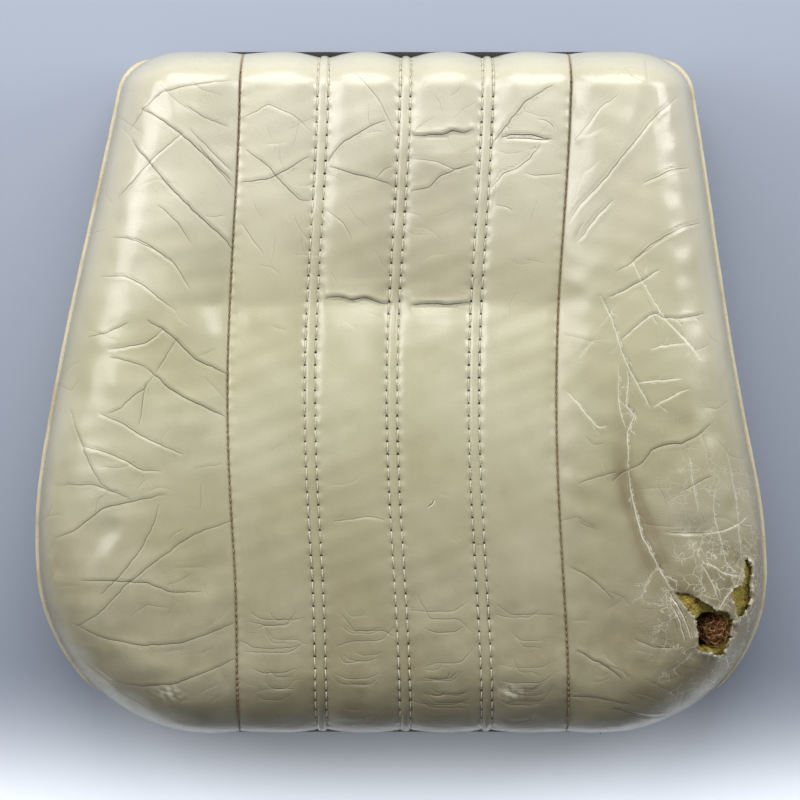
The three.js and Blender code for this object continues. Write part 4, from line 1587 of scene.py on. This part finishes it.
@dataclass
class Sewing:
    """Rows of stitches laid on the finished leather, each a copy of one modelled stitch."""

    cover: Cover
    twin_radius: float = 0.00044
    twin_length: float = 0.0072
    seam_pitch: float = 0.0045
    seam_length: float = 0.0031
    seam_radius: float = 0.00030
    twin_rise: float = 0.0011
    seam_rise: float = 0.0008
    twin_lift: float = 0.0006
    seam_lift: float = 0.0009

    def model_stitch(self, length: float, radius: float, rise: float) -> tuple[np.ndarray, np.ndarray]:
        """Models one stitch lying along X, its rear end high and its ends bent into the leather.

        Args:
            length: hole to hole.
            radius: of the thread.
            rise: of its crown over its ends.

        Returns:
            Its vertices and its quads.
        """
        deselect_all()
        bpy.ops.mesh.primitive_cylinder_add(vertices=6, radius=radius, depth=length, end_fill_type="NGON",
                                            rotation=(0, math.pi / 2, 0))
        stitch = bpy.context.object
        bpy.ops.object.transform_apply(location=True, rotation=True, scale=True)
        bpy.ops.object.mode_set(mode="EDIT")
        bpy.ops.mesh.select_all(action="DESELECT")
        bpy.ops.object.mode_set(mode="OBJECT")
        for edge in stitch.data.edges:
            a, b = (stitch.data.vertices[k].co for k in edge.vertices)
            edge.select = abs(a.x - b.x) > length / 2
        bpy.ops.object.mode_set(mode="EDIT")
        bpy.ops.mesh.select_mode(type="EDGE")
        bpy.ops.mesh.subdivide(number_cuts=4)
        bpy.ops.object.mode_set(mode="OBJECT")
        points = np.array([v.co for v in stitch.data.vertices])
        faces = [list(p.vertices) for p in stitch.data.polygons]
        bpy.data.objects.remove(stitch)
        share = points[:, 0] / length + 0.5
        points[:, 2] += rise * np.sin(math.pi * np.clip(share, 0, 1)) ** 0.6 - rise
        squeeze = 1 - 0.35 * smooth(share, 0.55, 1.0)
        points[:, 1] *= squeeze
        ends = [f for f in faces if len(f) == 6]
        halves = [half for f in ends for half in (f[:4], [f[0], *f[3:]])]
        quads = np.array([f for f in faces if len(f) == 4] + halves)
        return points, quads

    def follow(self, panel: Panel, across: float, at: np.ndarray) -> tuple:
        """Places, directions and normals on the finished leather.

        Args:
            panel: where the row is.
            across: the row's place on the flattened panel.
            at: distances from the rear edge.

        Returns:
            Points, unit directions forwards and unit normals.
        """
        row = np.interp(at, panel.along, np.arange(len(panel.along)))
        low = np.clip(row.astype(int), 0, len(panel.along) - 2)
        share = (row - low)[:, None]
        read = []
        for values in (panel.points, grid_normals(panel.points)):
            pair = [np.array([[np.interp(across, panel.nominal_x[i], values[i + k, :, c]) for c in range(3)]
                              for i in low]) for k in (0, 1)]
            read.append(pair[0] * (1 - share) + pair[1] * share)
        points, normals = read
        normals = unit(normals)
        ahead = np.gradient(points, axis=0)
        ahead -= normals * (ahead * normals).sum(axis=1, keepdims=True)
        ahead = unit(ahead)
        return points, ahead, normals

    def lay(self, name: str, shape: tuple, runs: list, lift: float, finish: bpy.types.Material,
            seed: int) -> bpy.types.Object:
        """Copies one stitch to every place of its rows.

        Args:
            name: the piece's name.
            shape: the modelled stitch.
            runs: points, directions and normals of each row.
            lift: of the stitch's crown over the leather.
            finish: the thread's material.
            seed: picks how unevenly they lie.

        Returns:
            The piece.
        """
        points, quads = shape
        draw = np.random.default_rng(seed)
        all_points, all_quads, count = [], [], 0
        for places, ahead, normals in runs:
            side = np.cross(normals, ahead)
            for p, a, n, s in zip(places, ahead, normals, side):
                lean = draw.normal(0, 0.05)
                a2 = a * math.cos(lean) + s * math.sin(lean)
                s2 = np.cross(n, a2)
                spot = p + n * (lift + draw.normal(0, 0.00008))
                all_points.append(spot + points[:, :1] * a2 + points[:, 1:2] * s2 + points[:, 2:] * n)
                all_quads.append(quads + count)
                count += len(points)
        piece = make_piece(name, np.concatenate(all_points), np.concatenate(all_quads), finish)
        report(piece)
        return piece

    def build(self) -> None:
        """Lays the twin rows and both plain seams."""
        insert = self.cover.panels["insert_cover"]
        pale = Thread("bonded_sewing_thread", "#ebe5cf", "#bfb594").material()
        brown = Thread("soiled_seam_thread", "#b99b6e", "#85663e").material()
        end = insert.along.max()
        pitch = self.cover.stitch_pitch
        runs = []
        for pair in (-1, 0, 1):
            for edge in (-1, 1):
                across = pair * self.cover.flute_pitch + edge * self.cover.band
                at = np.arange(pitch, end - 0.02, pitch) + 0.55 * self.twin_length
                runs.append(self.follow(insert, across, at))
        stitch = self.model_stitch(self.twin_length, self.twin_radius, self.twin_rise)
        self.lay("twin_row_stitches", stitch, runs, self.twin_lift, pale, 71)
        runs = []
        for side in (-1, 1):
            across = side * (self.cover.plan.seam - 0.05 * MM)
            at = np.arange(0.01, end - 0.01, self.seam_pitch)
            runs.append(self.follow(insert, across, at))
        short = self.model_stitch(self.seam_length, self.seam_radius, self.seam_rise)
        self.lay("insert_seam_stitches", short, runs, self.seam_lift, brown, 72)


# ---- Piping and side walls --------------------------------------------------

@dataclass
class Edging:
    """Piping along both sides, the walls below it and the cloth at the rear."""

    plan: Plan
    piping_radius: float = 0.0023
    cord_radius: float = 0.0012
    piping_z: float = 0.0734
    rear_join: float = 1.3
    front_join: float = 3.6
    wall: float = 0.0016
    piping_step: float = 0.0022
    wall_step: float = 0.0030

    def tube(self, name: str, side: int, radius: float, finish: bpy.types.Material, slot: str,
             node: str, sides: int, wave: float) -> bpy.types.Object:
        """Sweeps a round cord or its cover along one side of the outline.

        Args:
            name: the piece's name.
            side: 1 for the right, -1 for the left.
            radius: of the tube.
            finish: its material.
            slot: not used.
            node: the CAD node that it stands for.
            sides: of its section.
            wave: how unevenly it is drawn over what it covers, in metres.

        Returns:
            The piece.
        """
        run = self.plan.outline_run(side * self.rear_join, side * self.front_join, self.piping_step)
        out = left_of(run) * side
        count = len(run)
        line = run + out * 0.9 * MM
        inward = np.minimum(smooth(np.arange(count), 0, 9), smooth(np.arange(count), count - 1, count - 12))
        line = line - out * ((1 - inward) * 3.4 * MM)[:, None]
        centre = np.column_stack([line, self.piping_z - 1.0 * MM * (1 - inward)])
        centre = self.plan.bowed(centre)
        turn = np.linspace(0, 2 * math.pi, sides, endpoint=False)
        length = np.arange(count) * self.piping_step
        thick = radius + wave * ripples(length, 0 * length, 0.02, 5 + side)
        ring = []
        for k in range(count):
            across = np.cos(turn)[:, None] * np.array([out[k, 0], out[k, 1], 0]) * thick[k]
            ring.append(centre[k] + across + np.sin(turn)[:, None] * np.array([0, 0, 1]) * thick[k])
        points = np.concatenate(ring)
        faces = grid_faces(count, sides, closed=True)
        if side > 0:
            faces = faces[:, ::-1]
        caps = [list(range(sides)), list(range((count - 1) * sides, count * sides))]
        middles = np.array([points[cap].mean(axis=0) for cap in caps])
        fans = []
        for k, cap in enumerate(caps):
            middle = len(points) + k
            loop = cap if (k == 0) == (side < 0) else cap[::-1]
            fans += [[loop[i], loop[(i + 1) % sides], middle] for i in range(sides)]
        points = np.concatenate([points, middles])
        piece = make_piece(name, points, faces.tolist() + fans, finish)
        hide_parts(node)
        report(piece)
        return piece

    def skirt(self, name: str, start: float, end: float, low: float, high: float, bulge: float,
              finish: bpy.types.Material, node: str, extra: float = 0.0,
              flange: float = 0.0) -> bpy.types.Object:
        """Hangs a wall of cloth or leather from the outline down to the base.

        Args:
            name: the piece's name.
            start: its first station.
            end: its last station.
            low: its lower edge.
            high: its upper edge.
            bulge: how far it swells out half way up.
            finish: its material.
            node: the CAD node that it stands for.
            extra: a further swelling near the right front corner.
            flange: width of its turned-in upper edge.

        Returns:
            The piece.
        """
        run = self.plan.outline_run(start, end, self.wall_step)
        out = left_of(run)
        if (out[len(out) // 2] * run[len(run) // 2]).sum() < 0:
            out = -out
        level = np.linspace(high, low, 26)
        share = (level - low) / (high - low)
        along = np.arange(len(run)) * self.wall_step
        rise = np.sin(math.pi * share)[:, None]
        swell = rise ** 0.8 * bulge * (1 + 0.18 * ripples(along, 0 * along, 0.06, 17))
        across, up = np.meshgrid(along, level * 0.35)
        pull = 0.5 * MM * ripples(across, up, 0.03, 23)
        corner = np.exp(-np.hypot(run[:, 0] - 0.226, run[:, 1] + 0.205) ** 2 / 0.03 ** 2)
        corner *= smooth(along, along[-1], along[-1] - 0.035)
        swell = swell + (pull + extra * corner) * rise
        grid = np.zeros((len(level), len(run), 3))
        grid[..., :2] = run[None] + out[None] * swell[..., None]
        grid[..., 2] = level[:, None]
        if flange:
            turned = grid[:1] - np.append(out, np.zeros((len(out), 1)), axis=1)[None] * flange
            turned[..., 2] += 0.4 * MM
            grid = np.concatenate([turned, grid])
        grid = self.plan.bowed(grid)
        faces = grid_faces(len(grid), len(run))
        centre = grid.reshape(-1, 3)[faces[len(faces) // 2]]
        facing = np.cross(centre[1] - centre[0], centre[3] - centre[0])
        if facing[:2] @ centre[0][:2] < 0:
            faces = faces[:, ::-1]
        piece = make_piece(name, grid.reshape(-1, 3), faces, finish)
        thicken(piece, self.wall)
        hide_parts(node)
        length = float(np.linalg.norm(np.diff(run, axis=0), axis=1).sum())
        report(piece)
        return piece

    def build(self, cover_leather: bpy.types.Material) -> None:
        """Builds both pipings with their cords, both side walls, and the front and rear skirts."""
        piping = PipingLeather().material()
        cotton = Cloth("twisted_cotton", "#d6d0be", "#a9a28c", 0.0012, Weave.TWILL).material()
        grey = Cloth("grained_leathercloth", "#83817b", "#565550", 0.0016, Weave.GRAINED, 0.6, 0.1).material()
        black = Cloth("black_calico", "#2b2a27", "#121210", 0.0011, Weave.PLAIN).material()
        for side, word in ((-1, "left"), (1, "right")):
            self.tube(f"{word}_piping_cover", side, self.piping_radius, piping, "piping_leather",
                      f"{word}_piping", 14, 0.00012)
            self.tube(f"{word}_piping_core", side, self.cord_radius, cotton, "cotton",
                      f"{word}_piping_cord", 8, 0.0)
            self.skirt(f"{word}_side_wall", side * self.rear_join, side * self.front_join, 0.0013, 0.0712,
                       0.0022, grey, f"{word}_boxing", 0.0075 if side > 0 else 0.0)
        run = self.front_join
        self.skirt("front_wall", run, 10 - run, 0.0013, 0.0762, 0.0012, cover_leather,
                   "front_skirt")
        self.skirt("rear_wall", -self.rear_join, self.rear_join, 0.0013, 0.0757, 0.0010, black,
                   "rear_skirt", flange=0.010)


# ---- Filling ----------------------------------------------------------------

@dataclass
class Filling:
    """Foam under the leather, the hair behind the tear, and the edge strips."""

    plan: Plan
    cover: Cover
    skin_gap: float = 0.0024
    foam: float = 0.0105
    insert_foam: float = 0.0060
    ease: float = 0.0007
    rear_ease: float = 0.0022
    strands: int = 300
    strand_radius: float = 0.00027
    curls_centre: tuple = (0.2235, -0.1655, 0.1080)
    curls_spread: tuple = (0.0115, 0.0125, 0.0075)

    def foam_layer(self, panel: Panel, node: str, step: int, finish: bpy.types.Material,
                   thickness: float, holes: tuple = ()) -> None:
        """Lays foam under one leather panel.

        Args:
            panel: the leather above it.
            node: the CAD node that it stands for.
            step: how many of the leather's points each of its own stands for.
            finish: its material.
            thickness: of the foam.
            holes: outlines torn through it, in millimetres.
        """
        rows = np.unique(np.append(np.arange(0, panel.points.shape[0], step), panel.points.shape[0] - 1))
        columns = np.unique(np.append(np.arange(0, panel.points.shape[1], step), panel.points.shape[1] - 1))
        normal = grid_normals(panel.points)
        grid = (panel.points - normal * self.skin_gap)[np.ix_(rows, columns)]
        under = Panel(panel.name.replace("_cover", "_foam_layer"), panel.nominal_x[np.ix_(rows, columns)],
                      panel.nominal_y[np.ix_(rows, columns)], grid, panel.along[rows], panel.spacing * step)
        stays = None
        if holes:
            x, y = grid[..., 0], grid[..., 1]
            rough = np.exp(-np.hypot(x - 0.226, y + 0.155) ** 2 / 0.03 ** 2)
            sunk = rough * (0.9 * MM * ripples(x, y, 6 * MM, 88) - 1.6 * MM)
            under.points = grid + grid_normals(grid) * sunk[..., None]
            stays = self.cover.tear(under, holes, 0.6, -0.0008)
        self.cover.build_panel(under, stays, finish, "foam", node, thickness)

    def bowed_copy(self, node: str, name: str, finish: bpy.types.Material, slot: str,
                   ease: float = 0.0, rough: float = 0.0, padded: bool = True) -> bpy.types.Object:
        """Stands a bowed copy in for a CAD piece inside the cover.

        Args:
            node: the CAD node.
            name: the copy's name.
            finish: its material.
            slot: not used.
            ease: how far its surface is drawn in from its neighbours, in metres.
            rough: how uneven its surface is, in metres.
            padded: not used.

        Returns:
            The copy.
        """
        deselect_all()
        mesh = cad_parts[node].data.copy()
        mesh.name = name
        piece = bpy.data.objects.new(name, mesh)
        bpy.context.scene.collection.objects.link(piece)
        bpy.context.view_layer.objects.active = piece
        piece.select_set(True)
        bpy.ops.object.mode_set(mode="EDIT")
        bpy.ops.mesh.select_all(action="SELECT")
        bpy.ops.mesh.remove_doubles(threshold=1e-5)
        bpy.ops.object.mode_set(mode="OBJECT")
        mesh.materials.clear()
        mesh.materials.append(finish)
        points = np.array([v.co for v in mesh.vertices])
        points -= ease * np.array([v.normal for v in mesh.vertices])
        points = self.plan.bowed(points)
        if rough:
            points += rough * np.stack([ripples(points[:, k], points[:, (k + 1) % 3], 0.01, 60 + k)
                                        for k in range(3)], axis=1)
        mesh.vertices.foreach_set("co", points.astype(np.float32).ravel())
        mesh.update()
        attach(piece, "root")
        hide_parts(node)
        report(piece)
        return piece

    def curls(self, finish: bpy.types.Material) -> None:
        """Springs loose curls of hair out of the torn corner, each a thin curved tube.

        Args:
            finish: the hair's material.
        """
        draw = np.random.default_rng(9)
        centre, spread = np.array(self.curls_centre), np.array(self.curls_spread)
        steps, sides, radius = 15, 4, self.strand_radius
        points, faces = [], []
        for strand in range(self.strands):
            way = draw.normal(0, 1, 3)
            way /= np.linalg.norm(way)
            middle = centre + spread * way * draw.uniform(0.2, 1.0) ** 0.5
            axis = draw.normal(0, 1, 3)
            axis /= np.linalg.norm(axis)
            first = np.cross(axis, way)
            first /= np.linalg.norm(first) + 1e-9
            second = np.cross(axis, first)
            curl, turns, drift = draw.uniform(1.4, 4.2) * MM, draw.uniform(0.5, 1.3), draw.normal(0, 3) * MM
            t = np.linspace(0, 1, steps)
            turn = 2 * math.pi * turns * t
            line = (middle + curl * (np.cos(turn)[:, None] * first + np.sin(turn)[:, None] * second)
                    + drift * t[:, None] * axis)
            ahead = np.gradient(line, axis=0)
            ahead = unit(ahead)
            side = np.cross(ahead, axis + 0.01)
            side /= np.linalg.norm(side, axis=1, keepdims=True) + 1e-9
            other = np.cross(ahead, side)
            thick = radius * (1 - 0.7 * np.abs(2 * t - 1) ** 4)
            around = np.linspace(0, 2 * math.pi, sides, endpoint=False)
            tube = (line[:, None] + thick[:, None, None] * (np.cos(around)[None, :, None] * side[:, None]
                                                          + np.sin(around)[None, :, None] * other[:, None]))
            points.append(tube.reshape(-1, 3))
            first_end = np.arange(sides)
            last_end = first_end[::-1] + (steps - 1) * sides
            hull = np.concatenate([grid_faces(steps, sides, closed=True), [first_end, last_end]])
            faces.append(hull[:, ::-1] + strand * steps * sides)
        piece = make_piece("torn_corner_curls", np.concatenate(points), np.concatenate(faces), finish)
        report(piece)

    def build(self) -> None:
        """Builds the foam layers, hair pads, edge strips and the loose curls in the tear."""
        foam = AgedFoam().material()
        hair = CurledHair().material("rubberised_hair_pad")
        self.foam_layer(self.cover.panels["insert_cover"], "insert_foam", 3, foam, self.insert_foam)
        self.foam_layer(self.cover.panels["left_bolster_cover"], "left_bolster_foam", 4, foam, self.foam)
        self.foam_layer(self.cover.panels["right_bolster_cover"], "right_bolster_foam", 2, foam, self.foam,
                        (FOAM_HOLE,))
        self.bowed_copy("hair_pad", "middle_hair_pad", hair, "rubberised_hair", self.ease)
        self.bowed_copy("left_hair_bolster", "left_hair_pad", hair, "rubberised_hair", self.ease)
        self.bowed_copy("right_hair_bolster", "right_hair_pad", hair, "rubberised_hair", self.ease, 0.0006)
        for word in ("left", "right", "front"):
            self.bowed_copy(f"{word}_edge_foam", f"{word}_foam_strip", foam, "foam", self.ease)
        self.bowed_copy("rear_edge_foam", "rear_foam_strip", foam, "foam", self.rear_ease)
        # Painted light: the loose curls take the same hair much paler, standing in for the light on them where they
        # spring out.
        self.curls(CurledHair("#dfa35e", "#7a4b25").material("loose_curled_hair_with_painted_light"))


# ---- Hidden base ------------------------------------------------------------

@dataclass
class Base:
    """The steel base, springs and cloths under the filling."""

    filling: Filling

    def dress(self) -> None:
        """Bows what lies against the filling, and gives each CAD node that is kept its real finish."""
        steel = Metal("satin_black_steel", "#2a2b2d", "#1c1d1f", 0.3, 0.5).material()
        wire = Metal("drawn_spring_wire", "#8f9194", "#6a6c70", 1.0, 0.38).material()
        hessian = Cloth("jute_hessian", "#b0945f", "#6f5a35", 0.0022, Weave.PLAIN).material()
        cotton = Cloth("cotton_listing", "#d6d0be", "#a39c86", 0.0010, Weave.PLAIN).material()
        black = Cloth("black_base_cloth", "#272623", "#0f0f0e", 0.0012, Weave.PLAIN).material()
        bow = self.filling.bowed_copy
        bow("border_wire", "bowed_border_wire", wire, "spring_steel", padded=False)
        sheet = bow("hessian", "hessian_sheet", hessian, "hessian", padded=False)
        for word in ("left", "right"):
            bow(f"{word}_listing_rod", f"{word}_seam_rod", wire, "spring_steel", padded=False)
            bow(f"{word}_listing_sleeve", f"{word}_seam_sleeve", cotton, "cotton", padded=False)
        for name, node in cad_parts.items():
            if node.hide_render:
                continue
            finish = next(given for word, given in (("spring", wire), ("underlining", black), ("", steel))
                          if word in name)
            node.data.materials.clear()
            node.data.materials.append(finish)


# ---- Studio -----------------------------------------------------------------

@dataclass(frozen=True)
class Softbox:
    """A rectangular studio light."""

    name: str
    place: tuple
    aim: tuple
    size: tuple
    power: float
    spread: float = 180.0

    def build(self) -> None:
        """Hangs the light and aims it."""
        lamp = bpy.data.lights.new(self.name, "AREA")
        lamp.shape = "RECTANGLE"
        lamp.size, lamp.size_y = self.size
        lamp.energy = self.power
        lamp.spread = math.radians(self.spread)
        light = bpy.data.objects.new(self.name, lamp)
        light.location = self.place
        light.rotation_euler = (Vector(self.aim) - Vector(self.place)).to_track_quat("-Z", "Y").to_euler()
        bpy.context.scene.collection.objects.link(light)


@dataclass(frozen=True)
class Studio:
    """A pale floor, painted lighter in front of the cushion, soft lights and the camera, nearly straight above the
    cushion.
    """

    camera_place: tuple = (0.0, 0.12, 2.2)
    camera_aim: tuple = (0.0, -0.004, 0.08)
    lens: float = 133.0

    def build(self) -> None:
        """Sets the studio up."""
        deselect_all()
        bpy.ops.mesh.primitive_plane_add(size=8, location=(0, 0, -0.0006))
        floor = bpy.context.object
        floor.name = "studio_floor"
        bpy.ops.object.transform_apply(location=True, rotation=True, scale=True)
        s = Shader("matt_paper_floor", 0.85)
        ahead = add_node(s.tree, "SeparateXYZ", links={0: s.place}).outputs[1]
        # Painted light: the floor is paler in front of the cushion, lifting the shadow that the rear lights cast there.
        s.colour(s.mix(s.span(ahead, -0.20, -0.31), "#a3abba", "#dfe5ee"))
        floor.data.materials.append(s.material)
        for box in (
            Softbox("left_softbox", (-1.05, 0.46, 0.95), (-0.15, 0.12, 0.1), (0.85, 0.80), 9.2),
            Softbox("right_softbox", (1.25, 0.56, 0.66), (0.15, 0.12, 0.1), (0.6, 0.7), 7.8),
            Softbox("rear_key", (0.0, 1.02, 0.88), (0, 0.15, 0.1), (1.4, 0.75), 13.5),
            Softbox("rear_strip", (0.0, 0.98, 2.15), (0, 0.15, 0.1), (1.4, 0.9), 8.0),
            Softbox("floor_strip", (0.0, -0.42, 0.16), (0, -0.335, 0.0), (0.80, 0.06), 0.23, 50.0),
        ):
            box.build()
        world = bpy.data.worlds.new("studio_air")
        world.use_nodes = True
        air = world.node_tree.nodes["Background"]
        air.inputs["Color"].default_value = linear("#c3cbd8")
        air.inputs["Strength"].default_value = 0.15
        bpy.context.scene.world = world
        lens = bpy.data.cameras.new("camera")
        lens.lens = self.lens
        lens.sensor_width = 36
        camera = bpy.data.objects.new("camera", lens)
        camera.location = self.camera_place
        way = Vector(self.camera_aim) - Vector(self.camera_place)
        camera.rotation_euler = (math.atan2(way.y, -way.z), 0, 0)
        bpy.context.scene.collection.objects.link(camera)
        bpy.context.scene.camera = camera
        bpy.context.scene.view_settings.view_transform = "Standard"


# ---- The cushion ------------------------------------------------------------

def main() -> None:
    """Builds the whole cushion in the order it is made."""
    logging.basicConfig(level=logging.INFO, format="%(message)s")
    low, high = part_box("insert_panel")
    plan = Plan(depth=high.y - low.y, seam=(high.x - low.x) / 2)
    Studio().build()
    cover = Cover(plan)
    cover.shape()
    leather = CoverLeather()
    fluted = leather.material("fluted_cover_leather", holes=True)
    plain = leather.material("plain_cover_leather")
    filling = Filling(plan, cover)
    filling.build()
    right = cover.panels["right_bolster_cover"]
    stays = cover.tear(right, (TORN_HOLE, EDGE_HOLE), 0.45, 0.0019)
    for panel, kept, finish, node in (
        (cover.panels["insert_cover"], None, fluted, "insert_panel"),
        (cover.panels["left_bolster_cover"], None, plain, "left_bolster_panel"),
        (right, stays, plain, "right_bolster_panel"),
    ):
        cover.build_panel(panel, kept, finish, "cover_leather", node, cover.leather)
    Sewing(cover).build()
    Edging(plan).build(plain)
    Base(filling).dress()


if __name__ == "__main__":
    main()
